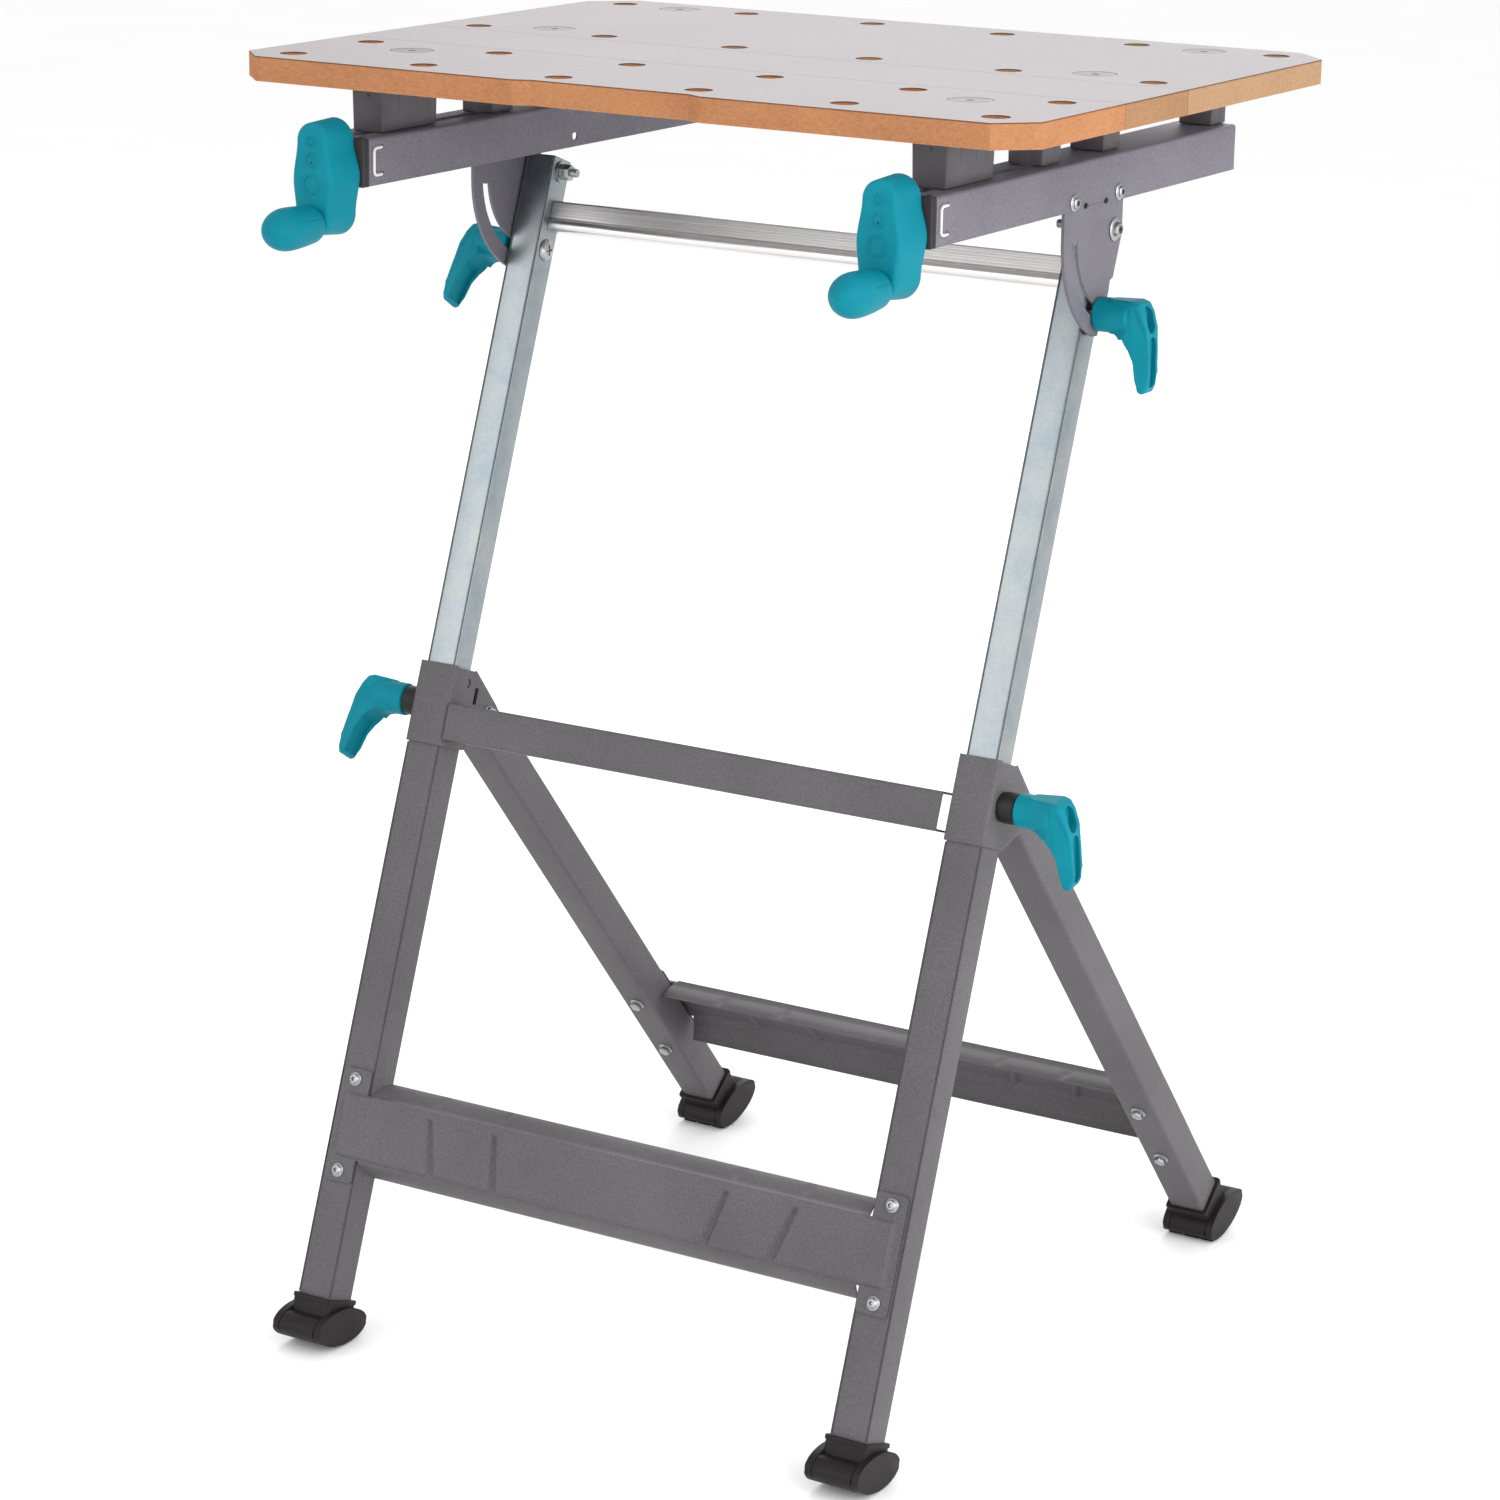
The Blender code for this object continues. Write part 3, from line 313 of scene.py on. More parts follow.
# Painted reflections: the next two dark colours go on thin wires along tube corners, standing in for the dark
# that the rolled corners reflect.
ZINC_CORNER_REFLECTION = dark_plastic("painted_corner_reflection_zinc", (0.075, 0.095, 0.1), 0.45)
PAINT_CORNER_REFLECTION = dark_plastic("painted_corner_reflection_paint", (0.045, 0.044, 0.048), 0.45)

FINISHES = (("front_plank", FRONT_BOARD), ("middle_plank", MIDDLE_BOARD), ("rear_plank", REAR_BOARD),
            ("crank", TEAL), ("lever", TEAL), ("foot", FOOT), ("cap", CAP), ("block", BLOCK),
            ("jaw_screw", DISC), ("inner_screw", DISC), ("outer_screw", DISC), ("bolt", ZINC),
            ("upright", ZINC), ("spindle", ZINC), ("cross_bar", ALUMINIUM), ("beam", BEAM_PAINT),
            ("bracket", BEAM_PAINT), ("bush", BLACK), ("latch", BLACK))  # the first word that fits
for name, piece in node.items():
    finish = next((material for word, material in FINISHES if word in name), PAINT)
    piece.data.materials.clear()
    piece.data.materials.append(finish)


def modify(piece, kind, **settings):
    """A new modifier with its settings."""
    step = piece.modifiers.new(kind.lower(), kind)
    for key, value in settings.items():
        setattr(step, key, value)


def soften(piece, width, segments=2, angle=30):
    """A bevel on a piece's sharp edges."""
    modify(piece, "BEVEL", width=width, segments=segments, limit_method="ANGLE", angle_limit=radians(angle))


for name in ("front_plank", "middle_plank", "rear_plank"):
    soften(node[name], 0.0005)


# ---- drawing helpers: each adds to a bmesh, in metres ----
def axis_frame(point, direction):
    """A frame at the point whose Z runs along the direction."""
    return Matrix.Translation(point) @ Vector(direction).to_track_quat("Z", "Y").to_matrix().to_4x4()


def add_rings(bm, rings, cap=True, closed=True):
    """Faces between rings of points; a ring of one point is a tip."""
    made = [[bm.verts.new(p) for p in ring] for ring in rings]
    for a, b in zip(made, made[1:]):
        count = max(len(a), len(b))
        for i in range(count if closed else count - 1):
            j = (i + 1) % count
            corners = []
            for v in (a[i % len(a)], a[j % len(a)], b[j % len(b)], b[i % len(b)]):
                if v not in corners:
                    corners.append(v)
            if len(corners) > 2:
                bm.faces.new(corners)
    if cap:
        for ring in (made[0], made[-1]):
            if len(ring) > 2:
                bm.faces.new(ring)
    return made


def add_lathe(bm, profile, where, sides=36):
    """Spins (radius, height[, lobes]) about the frame's Z; lobes makes a six-lobed ring."""
    rings = []
    for r, h, *lobes in profile:
        swell = lobes[0] if lobes else 0.0
        ring = []
        for a in (2 * pi * i / sides for i in range(sides)):
            reach = r * (1 + swell * cos(6 * a))
            ring.append(where @ Vector((reach * cos(a), reach * sin(a), h)))
        rings.append(ring if r else ring[:1])
    add_rings(bm, rings, cap=False)


def add_disc(bm, where, radius, low, high, sides=36):
    """A plain round plate or pin."""
    add_lathe(bm, [(0, low), (radius, low), (radius, high), (0, high)], where, sides)


def add_box(bm, low, high, bevel=0.0, segments=2, where=None):
    made = bmesh.ops.create_cube(bm, size=1.0)["verts"]
    size = [b - a for a, b in zip(low, high)]
    centre = [(a + b) / 2 for a, b in zip(low, high)]
    bmesh.ops.transform(bm, matrix=Matrix.Translation(centre) @ Matrix.Diagonal((*size, 1)), verts=made)
    if bevel:
        edges = list({e for v in made for e in v.link_edges})
        grown = bmesh.ops.bevel(bm, geom=edges, offset=bevel, segments=segments, profile=0.5,
                                affect="EDGES", clamp_overlap=True)
        made = list({v for f in grown["faces"] for v in f.verts})
    if where is not None:
        bmesh.ops.transform(bm, matrix=where, verts=made)


def add_prism(bm, outline, low, high, where, bevel=0.0, segments=3):
    """An outline in the frame's XY, run along its Z, its rims rounded."""
    made = add_rings(bm, [[(u, v, low) for u, v in outline], [(u, v, high) for u, v in outline]])
    verts = made[0] + made[1]
    if bevel:
        rims = {e for ring in made for v in ring for e in v.link_edges
                if e.verts[0] in ring and e.verts[1] in ring}
        grown = bmesh.ops.bevel(bm, geom=list(rims), offset=bevel, segments=segments, profile=0.5,
                                affect="EDGES", clamp_overlap=True)
        verts = list({v for v in verts if v.is_valid} | {v for f in grown["faces"] for v in f.verts})
    bmesh.ops.transform(bm, matrix=where, verts=verts)


def add_wire(bm, points, radius, sides=10):
    """A round wire through the points."""
    points = [Vector(p) for p in points]
    rings = []
    side = None
    turns = [2 * pi * k / sides for k in range(sides)]
    for i, p in enumerate(points):
        run = (points[min(i + 1, len(points) - 1)] - points[max(i - 1, 0)]).normalized()
        side = run.orthogonal() if side is None else side - run * side.dot(run)
        side.normalize()
        other = run.cross(side)
        rings.append([p + radius * (side * cos(a) + other * sin(a)) for a in turns])
    add_rings(bm, rings)


def arc(cx, cy, radius, start, end, steps):
    return [(cx + radius * cos(radians(start + (end - start) * i / steps)),
             cy + radius * sin(radians(start + (end - start) * i / steps))) for i in range(steps + 1)]


def round_square(half, radius, steps=4):
    points = []
    for cx, cy, start in ((1, 1, 0), (-1, 1, 90), (-1, -1, 180), (1, -1, 270)):
        points += arc(cx * (half - radius), cy * (half - radius), radius, start, start + 90, steps)
    return points


def inset(outline, distance):
    """The closed outline moved inwards along its normals."""
    count = len(outline)
    area = sum(outline[i][0] * outline[(i + 1) % count][1] - outline[(i + 1) % count][0] * outline[i][1]
               for i in range(count))
    turn = 1 if area > 0 else -1
    moved = []
    for i, (u, v) in enumerate(outline):
        a, b = outline[i - 1], outline[(i + 1) % count]
        run = Vector((b[0] - a[0], b[1] - a[1])).normalized()
        moved.append((u - turn * distance * run.y, v + turn * distance * run.x))
    return moved


def mesh_of(bm, name):
    """The drawn shape as a mesh; the drawing is used up."""
    mesh = bpy.data.meshes.new(name)
    bm.to_mesh(mesh)
    bm.free()
    return mesh


def outward(bm):
    """Turns every face out of the drawn shape."""
    bmesh.ops.recalc_face_normals(bm, faces=bm.faces)
    if bm.calc_volume(signed=True) < 0:
        bmesh.ops.reverse_faces(bm, faces=bm.faces)


def node_of(name):
    """The CAD node that a piece called NAME_look stands for."""
    return name.removesuffix("_look")


def make(name, bm, material, body, smooth=35, where=None):
    """Turns a drawn bmesh into a piece that rides on a body; NAME_look stands for the node NAME."""
    if where is not None:
        bmesh.ops.transform(bm, matrix=where, verts=bm.verts)
    bmesh.ops.transform(bm, matrix=Matrix.Translation((0, CENTRING, 0)), verts=bm.verts)
    outward(bm)
    mesh = mesh_of(bm, name)
    mesh.materials.append(material)
    mesh.shade_smooth()
    mesh.set_sharp_from_angle(angle=radians(smooth))
    piece = linked(name, mesh)
    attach(piece, body)
    stands_for = [node_of(name)] if name.endswith("_look") else []
    if stands_for:
        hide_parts(*stands_for)
    return piece


def carve(piece, cutter, smooth=35):
    """Cuts the drawn shape out of a piece."""
    bmesh.ops.transform(cutter, matrix=Matrix.Translation((0, CENTRING, 0)), verts=cutter.verts)
    cut(piece, cutter, smooth, solver="EXACT", use_self=True)


def cut(piece, cutter, smooth=35, **how):
    """Takes a drawn shape away from a piece in the piece's own frame."""
    outward(cutter)
    tool = linked("cutter", mesh_of(cutter, "cutter"))
    modify(piece, "BOOLEAN", object=tool, operation="DIFFERENCE", **how)
    apply(piece, smooth)
    bpy.data.objects.remove(tool, do_unlink=True)


def apply(piece, smooth=35):
    """Turns a piece's modifiers into mesh."""
    graph = bpy.context.evaluated_depsgraph_get()
    mesh = bpy.data.meshes.new_from_object(piece.evaluated_get(graph))
    piece.modifiers.clear()
    piece.data = mesh
    mesh.shade_smooth()
    mesh.set_sharp_from_angle(angle=radians(smooth))


# ---- tubes ----
def square_tube(name, x, n, span, width, wall, radius, where, material, body):
    outer, inner = round_square(width / 2, radius), round_square(width / 2 - wall, max(radius - wall, 0.0004))
    bm = bmesh.new()
    rings = [[(x + u, n + v, s) for u, v in loop] for loop, s in
             ((outer, span[0]), (outer, span[1]), (inner, span[1]), (inner, span[0]), (outer, span[0]))]
    add_rings(bm, rings, cap=False)
    bmesh.ops.remove_doubles(bm, verts=bm.verts, dist=1e-6)
    return make(name, bm, material, body, where=where)


for side_name, side in SIDES:
    square_tube(f"front_leg_{side_name}_look", side * LEG_X, LEG_N, (0.022, 0.5355), 0.03, 0.0018, 0.0026,
                FRONT, PAINT, "front_frame")
    square_tube(f"upright_{side_name}_look", side * LEG_X, LEG_N, (0.33, 0.938), 0.025, 0.0015, 0.0022, FRONT,
                ZINC, "height_frame")
    square_tube(f"rear_leg_{side_name}_look", side * LEG_X, 0.0, (0.03 - REAR_REACH, 0.017), 0.03, 0.0018,
                0.0026, REAR, PAINT, "rear_frame")


# ---- collars ----
EAR = [(0.474, 0.0295), (0.4885, 0.0505), (0.4985, 0.0655), (0.5045, 0.0695), (0.5115, 0.068),
       (0.5145, 0.064), (0.537, 0.0275)]


def ear_reach(s):
    for (s0, n0), (s1, n1) in zip(EAR, EAR[1:]):
        if s <= s1:
            return n0 + (n1 - n0) * (s - s0) / (s1 - s0)
    return EAR[-1][1]


def collar(side_name, side):
    """A folded sheet round the leg, its rear edges running out into the ears."""
    x, half, front, bend = side * LEG_X, 0.0171, -0.0021, 0.0042
    levels = sorted({s for s, _ in EAR} | {0.474 + 0.063 * i / 18 for i in range(19)})
    rings = []
    for s in levels:
        reach = ear_reach(s)
        corner = [(half - bend + bend * cos(a), front + bend - bend * sin(a))
                  for a in (radians(t) for t in (0, 22, 45, 67, 90))]
        arm = [(half, reach + (front + bend - reach) * i / 6) for i in range(6)] + corner
        path = arm + [(0.006, front), (0.0, front), (-0.006, front)] + [(-u, n) for u, n in reversed(arm)]
        rings.append([(x + u, n, s) for u, n in path])
    bm = bmesh.new()
    add_rings(bm, rings, cap=False, closed=False)
    name = f"collar_{side_name}_look"
    piece = make(name, bm, PAINT, "front_frame", where=FRONT)
    faces_out = piece.data.polygons[len(piece.data.polygons) // 2].normal.y < 0
    modify(piece, "SOLIDIFY", thickness=0.0018, offset=-1 if faces_out else 1)
    soften(piece, 0.0004, 2, 50)
    apply(piece)
    cutter = bmesh.new()
    inside = x - side * half
    add_box(cutter, (inside - 0.004, 0.0308, 0.5106), (inside + 0.004, 0.0354, 0.5236))
    add_prism(cutter, arc(0.019, 0.5255, 0.0036, -100, 100, 10) + arc(0.0175, 0.5255, 0.003, 80, -80, 8),
              inside - 0.004, inside + 0.004, ACROSS)
    bmesh.ops.transform(cutter, matrix=FRONT, verts=cutter.verts)
    carve(piece, cutter)


# ---- bars ----
def upper_bar():
    """A channel folded from sheet; its web stops short on the right."""
    low, high, front, back, sheet, bend = 0.479, 0.508, -0.002, 0.018, 0.0015, 0.0022
    outer = [(back, high)] + arc(front + bend, high - bend, bend, 90, 180, 4)
    outer += arc(front + bend, low + bend, bend, 180, 270, 4) + [(back, low)]
    inner = [(back, low + sheet), (front + sheet + 0.001, low + sheet), (front + sheet, low + sheet + 0.001),
             (front + sheet, high - sheet - 0.001), (front + sheet + 0.001, high - sheet),
             (back, high - sheet)]
    bm = bmesh.new()
    add_rings(bm, [[(x, n, s) for n, s in outer + inner] for x in (-0.2185, 0.2185)])
    piece = make("upper_bar_look", bm, PAINT, "front_frame", where=FRONT)
    cutter = bmesh.new()
    add_box(cutter, (0.2126, -0.01, low - 0.004), (0.23, 0.022, high - 0.004), 0.0012)
    add_box(cutter, (0.2126, -0.01, high - 0.007), (0.23, 0.0035, high + 0.004), 0.0012)
    bmesh.ops.transform(cutter, matrix=FRONT, verts=cutter.verts)
    carve(piece, cutter)


def cross_bar():
    """Extruded bar: a grooved face above a smooth round bead."""
    outline = [(0.0265, 0.8812), (0.0265, 0.9053), (0.0155, 0.9055), (0.013, 0.9046), (0.012, 0.9032)]
    for i in range(5):
        s = 0.9022 - i * 0.0021
        outline += [(0.012, s), (0.0125, s - 0.0002), (0.0125, s - 0.0005), (0.012, s - 0.0007)]
    outline.append((0.012, 0.8915))
    for t in range(75, -90, -20):
        outline.append((0.015 - 0.0048 * cos(radians(t)), 0.8861 + 0.005 * sin(radians(t))))
    bm = bmesh.new()
    reach = 0.2232
    add_rings(bm, [[(x, n, s) for n, s in outline] for x in (-reach, reach)])
    make("cross_bar_look", bm, ALUMINIUM, "height_frame", where=FRONT, smooth=28)


# ---- lower panels ----
WEB_ROWS = 43
RIBS = ((-0.1612, -0.1516), (-0.1023, -0.0951), (0.1023, 0.0909), (0.1606, 0.1471))


def step_up(value, start, end):
    t = min(1.0, max(0.0, (value - start) / (end - start)))
    return t * t * (3 - 2 * t)


def field(x, s):
    """How far the pressed fields stand out at a place on the web."""
    rise = step_up(s, 0.1508, 0.153) * step_up(0.2425 - abs(x), 0.0, 0.0026)
    if abs(x) > 0.2165:
        rise *= step_up(0.2008 - s, 0.0, 0.0026)
    for top, bottom in RIBS:
        t = (s - 0.1505) / (0.193 - 0.1505)
        middle = bottom + (top - bottom) * t
        width = 0.003 - 0.0012 * t
        groove = 1 - step_up(abs(x - middle), width - 0.001, width + 0.0014)
        rise *= 1 - groove * step_up(0.1948 - s, 0.0, 0.0026)
    return 0.003 * rise


def section_rows():
    """The web and its two flanges from the top rear edge down: (n, s, whether it is the web)."""
    above = [(0.018, 0.2118), (0.0145, 0.211), (0.011, 0.2094), (0.008, 0.2074), (0.005, 0.2051),
             (0.0025, 0.203), (0.0005, 0.2014)]
    below = [(-0.0012, 0.1485), (0.0003, 0.147), (0.003, 0.145), (0.0065, 0.1428), (0.0105, 0.1405),
             (0.014, 0.1392), (0.0165, 0.1386)]
    web = [(-0.0018, 0.2002 - i * 0.0012, True) for i in range(WEB_ROWS)]
    return [(n, s, False) for n, s in above] + web + [(n, s, False) for n, s in below]


def lower_panel(name, body, where, mirror):
    columns = [-0.248 + 0.0016 * i for i in range(311)]
    rows = section_rows()
    flange_x, ear_x = 0.2195, 0.2222
    bm = bmesh.new()
    grid = {}

    def place(x, n, s):
        return where @ Vector((x, 0.015 - n if mirror else n, s))

    for j, (n, s, on_web) in enumerate(rows):
        for i, x in enumerate(columns):
            if not on_web:
                if abs(x) > flange_x:
                    continue
                back = (n + 0.0018) / 0.0198
                moved = x * (1 - 0.02 * back)
                dent = 0.0
                if s > 0.2:
                    for top, bottom in RIBS:
                        far = abs(moved - top * 1.005) / 0.006
                        fade = max(0.0, 1 - ((n - 0.01) / 0.007) ** 2)
                        dent += 0.0016 * max(0.0, 1 - far * far) ** 2 * fade
                grid[i, j] = bm.verts.new(place(moved, n + 0.5 * dent, s - dent))
            else:
                rise = field(x, s)
                if abs(x) <= 0.2165:
                    rise *= step_up(s, 0.149, 0.1505) * step_up(0.2035 - s, 0.0, 0.003)
                grid[i, j] = bm.verts.new(place(x, n - rise, s))
    for j in range(len(rows) - 1):
        for i in range(len(columns) - 1):
            corners = [grid.get(k) for k in ((i, j), (i + 1, j), (i + 1, j + 1), (i, j + 1))]
            if all(corners):
                bm.faces.new(corners)
    first = next(j for j, row in enumerate(rows) if row[2])
    last = first + WEB_ROWS - 1
    for sign in (-1, 1):
        mine = [i for i, x in enumerate(columns) if x * sign > ear_x - 0.0005]
        outer, inner = 0.248, ear_x
        for start, edge, direction in ((first, 0.219, 1), (last, 0.1315, -1)):
            previous = {i: grid[i, start] for i in mine}
            base = rows[start][1]
            for k in range(1, 9):
                fresh = {}
                for i in mine:
                    d = min(abs(columns[i]) - inner, outer - abs(columns[i]))
                    short = max(0.0, 0.003 - max(d, 0.0))
                    round_off = 0.003 - (0.003 ** 2 - short ** 2) ** 0.5
                    limit = edge - direction * round_off
                    fresh[i] = bm.verts.new(place(columns[i], -0.0018, base + (limit - base) * k / 8))
                for i in mine[:-1]:
                    bm.faces.new([previous[i], previous[i + 1], fresh[i + 1], fresh[i]])
                previous = fresh
    piece = make(name, bm, PAINT, body, smooth=50)
    centre = piece.data.polygons[len(piece.data.polygons) // 3]
    faces_out = (where.to_3x3() @ Vector((0, 1 if mirror else -1, 0))).dot(centre.normal) > 0
    modify(piece, "SOLIDIFY", thickness=0.0014, offset=-1 if faces_out else 1)
    apply(piece, 50)


# ---- fasteners ----
def flange_bolt(name, point, direction, body, flange, head, height, where=None):
    """Flanged button head with a six-lobed socket; it stands on the point."""
    top = 0.0012 + height
    bm = bmesh.new()
    add_lathe(bm, [(0, 0), (flange, 0), (flange, 0.0007), (flange - 0.0005, 0.0012), (head + 0.0003, 0.0015),
                   (head, 0.0019), (head, top - 0.0009), (head - 0.0008, top - 0.0001), (head * 0.62, top),
                   (head * 0.52, top, 0.14), (head * 0.5, top - 0.0019, 0.14), (0, top - 0.0019)],
              axis_frame(point, direction), 36)
    make(name, bm, STEEL, body, where=where)


def hexagon(across):
    return [(across / 3 ** 0.5 * cos(radians(60 * i + 30)), across / 3 ** 0.5 * sin(radians(60 * i + 30)))
            for i in range(6)]


def add_thread(bm, where, radius, start, end, pitch=0.0009, depth=0.00035):
    profile = [(0, start)]
    h = start
    while h < end - pitch:
        profile += [(radius - depth, h), (radius, h + pitch * 0.35), (radius, h + pitch * 0.6)]
        h += pitch
    profile += [(radius - depth, end), (0, end)]
    add_lathe(bm, profile, where, 20)


def add_nut(bm, where, across, height, flange=0.0):
    if flange:
        rim = [(0, 0), (flange, 0), (flange, 0.0007), (flange - 0.0012, 0.0014), (0, 0.0014)]
        add_lathe(bm, rim, where, 30)
    add_prism(bm, hexagon(across), 0.0008 if flange else 0.0, height, where, 0.0005, 2)


for side_name, side in SIDES:
    collar(side_name, side)
upper_bar()
cross_bar()
lower_panel("front_lower_panel_look", "front_frame", FRONT, False)
lower_panel("rear_lower_panel_look", "rear_frame", PANEL_REAR, True)


# ---- table: beams, caps, blocks ----
BEAM_X, BEAM_HALF, BEAM_LOW, BEAM_HIGH, BEAM_FRONT, BEAM_REAR = 0.232, 0.023, 0.888, 0.922, -0.239, 0.23


def beam(side_name, side):
    """A folded sheet channel, open below and at the front, closed behind."""
    x = side * BEAM_X
    bend = 0.0026
    section = [(-BEAM_HALF, BEAM_LOW)] + [(u, BEAM_HIGH - bend + v) for u, v in
                                         arc(-BEAM_HALF + bend, 0, bend, 180, 90, 4)]
    section += [(-u, z) for u, z in reversed(section)]
    bm = bmesh.new()
    stations = [BEAM_FRONT + (BEAM_REAR - bend - BEAM_FRONT) * i / 12 for i in range(13)]
    rings = [[(x + u, y, z) for u, z in section] for y in stations]
    for a in (25, 50, 75, 90):
        drop = bend * (1 - cos(radians(a)))
        y = BEAM_REAR - bend + bend * sin(radians(a))
        rings.append([(x + u * (1 - drop / BEAM_HALF), y, min(z, BEAM_HIGH - drop)) for u, z in section])
    made = add_rings(bm, rings, cap=False, closed=False)
    bm.faces.new(made[-1])
    name = f"beam_{side_name}_look"
    piece = make(name, bm, BEAM_PAINT, "table", smooth=40)
    faces_out = max(piece.data.polygons, key=lambda f: f.center.z).normal.z > 0
    modify(piece, "SOLIDIFY", thickness=0.0014, offset=-1 if faces_out else 1)
    apply(piece, 40)
    cutter = bmesh.new()
    add_prism(cutter, arc(x, -0.221, 0.005, 180, 360, 10) + arc(x, -0.045, 0.005, 0, 180, 10), 0.915, 0.93,
              Matrix.Identity(4))
    add_disc(cutter, axis_frame((x - side * BEAM_HALF, 0.029, 0.8965), (1, 0, 0)), 0.0036, -0.006, 0.006, 20)
    for y in (-0.019, 0.013):
        add_box(cutter, (x + side * BEAM_HALF - 0.004, y - 0.003, BEAM_LOW - 0.001),
                (x + side * BEAM_HALF + 0.004, y + 0.003, BEAM_LOW + 0.0028))
    carve(piece, cutter, 40)


def end_cap(side_name, side):
    """Moulded cap: a rim, a sunk face and a notched lug on top."""
    x = side * BEAM_X
    bm = bmesh.new()
    add_box(bm, (x - 0.0233, -0.2468, 0.8877), (x + 0.0233, -0.2432, 0.9223), 0.001, 3)
    add_box(bm, (x - 0.0226, -0.244, 0.8884), (x + 0.0226, -0.241, 0.9216))
    add_box(bm, (x - 0.0233, -0.2424, 0.8877), (x + 0.0233, -0.2392, 0.9223), 0.0008, 3)
    for edge in (-1, 1):
        add_box(bm, (x + edge * 0.0085 - 0.003, -0.2466, 0.92), (x + edge * 0.0085 + 0.003, -0.2415, 0.9246),
                0.001, 3)
        add_box(bm, (x + edge * 0.0205 - 0.0022, -0.2462, 0.92), (x + edge * 0.0205 + 0.0022, -0.2425, 0.924),
                0.0009, 3)
    make(f"beam_end_cap_{side_name}_look", bm, CAP, "table", smooth=40)


def clip(name, x, side):
    """Round wire bent to a C, lying against the beam's side, its ends turned in."""
    y0, y1, low, high, r, out = -0.2342, -0.2236, 0.8955, 0.915, 0.0011, 0.0009
    face = x + side * out
    points = [(x - side * 0.002, y1, low), (x, y1, low), (face, y1 - 0.0014, low)]
    points += [(face, y, z) for y, z in arc(y0 + 0.003, low + 0.003, 0.003, -90, -180, 5)]
    points += [(face, y0, low + (high - low) * i / 6) for i in range(2, 5)]
    points += [(face, y, z) for y, z in arc(y0 + 0.003, high - 0.003, 0.003, 180, 90, 5)]
    points += [(face, y1 - 0.0014, high), (x, y1, high), (x - side * 0.002, y1, high)]
    bm = bmesh.new()
    add_wire(bm, points, r)
    make(name, bm, CLIP, "table")
    # Painted shade: flat black discs where the wire ends enter the beam, standing in for the dark inside the
    # holes.
    shade = bmesh.new()
    for z in (low, high):
        add_disc(shade, axis_frame((x, y1 + 0.0002, z), (side, 0, 0)), 0.0018, -0.0008, 0.0002, 16)
    make(f"{name}_holes", shade, BLACK, "table")


def block(name, x, y0, y1, z0, z1, body, draft, half=0.014):
    """Moulded spacer between plank and beam, narrower at its foot, its sides stepped in."""
    bm = bmesh.new()
    add_box(bm, (-half, y0, z0), (half, y1, z1), 0.0012, 3)
    for v in bm.verts:
        t = (z1 - v.co.z) / (z1 - z0)
        v.co.x = x + v.co.x * (1 - draft * t)
    if body == "front_jaw":
        add_box(bm, (x - 0.0046, y0 + 0.02, 0.916), (x + 0.0046, y1 - 0.012, z0 + 0.0004))
        add_box(bm, (x - 0.0125, y0 + 0.022, 0.8955), (x + 0.0125, y1 - 0.014, 0.917), 0.0008)
    piece = make(f"{name}_look", bm, BLOCK, body, smooth=40)
    cutter = bmesh.new()
    depth = y1 - y0
    spans = ((0.16, 0.3), (0.34, 0.62), (0.66, 0.84)) if depth > 0.04 else ((0.3, 0.7),)
    for edge in (-1, 1):
        middle = x + edge * (half * (1 - draft * 0.5) + 0.0021)
        for a, b in spans:
            add_box(cutter, (middle - 0.0023, y0 + a * depth, z0 + 0.0032),
                    (middle + 0.0023, y0 + b * depth, z1 + 0.01), 0.0003, 1)
    add_lathe(cutter, [(0, -0.0012), (0.0011, -0.0006), (0.0016, 0.001), (0, 0.001)],
              axis_frame((x + 0.001, y0, z1 - 0.0085), (0, -1, 0)), 16)
    carve(piece, cutter, 40)


def discs():
    """Turned plastic discs in the top: rings, a dimple and a chamfered rim."""
    for side_name, _ in SIDES:
        for row, body in (("front_jaw", "front_jaw"), ("rear_inner", "table"), ("rear_outer", "table")):
            name = f"{row}_screw_{side_name}"
            low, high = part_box(name)
            top = high[2]
            bm = bmesh.new()
            radius = (high[0] - low[0]) / 2
            profile = [(0, low[2]), (0.004, low[2]), (0.004, top - 0.0035), (radius - 0.0006, top - 0.0035),
                       (radius, top - 0.003), (radius, top - 0.0004), (radius - 0.0004, top), (0.0128, top),
                       (0.0125, top - 0.0002), (0.0122, top), (0.0092, top), (0.0089, top - 0.0002),
                       (0.0086, top), (0.0034, top), (0.0028, top - 0.0005), (0.001, top - 0.001),
                       (0, top - 0.001)]
            x, y = (low[0] + high[0]) / 2, (low[1] + high[1]) / 2 - CENTRING
            add_lathe(bm, profile, Matrix.Translation((x, y, 0)), 48)
            make(f"{name}_look", bm, DISC, body, smooth=30)


# ---- cranks and knobs ----
SPINDLE_Z = 0.905


def crank_outline(top, hub, end, half=48):
    """Half-widths down the crank, (height, radius) of its three lobes, joined by eased flares."""
    (zt, rt), (zh, rh), (ze, re) = top, hub, end
    high, low = zt + rt, ze - re
    right = []
    for i in range(half + 1):
        a = pi * i / half
        z = (high + low) / 2 + (high - low) / 2 * cos(a)
        if z > zt:
            w = (max(0.0, rt * rt - (z - zt) ** 2)) ** 0.5
        elif z > zh:
            t = (zt - z) / (zt - zh)
            w = rt + (rh - rt) * (t * t * (3 - 2 * t))
        elif z > ze:
            t = (zh - z) / (zh - ze)
            w = rh + (re - rh) * (t * t * (3 - 2 * t))
        else:
            w = (max(0.0, re * re - (z - ze) ** 2)) ** 0.5
        right.append((w, z))
    return right[:-1] + [(-w, z) for w, z in reversed(right)][:-1]


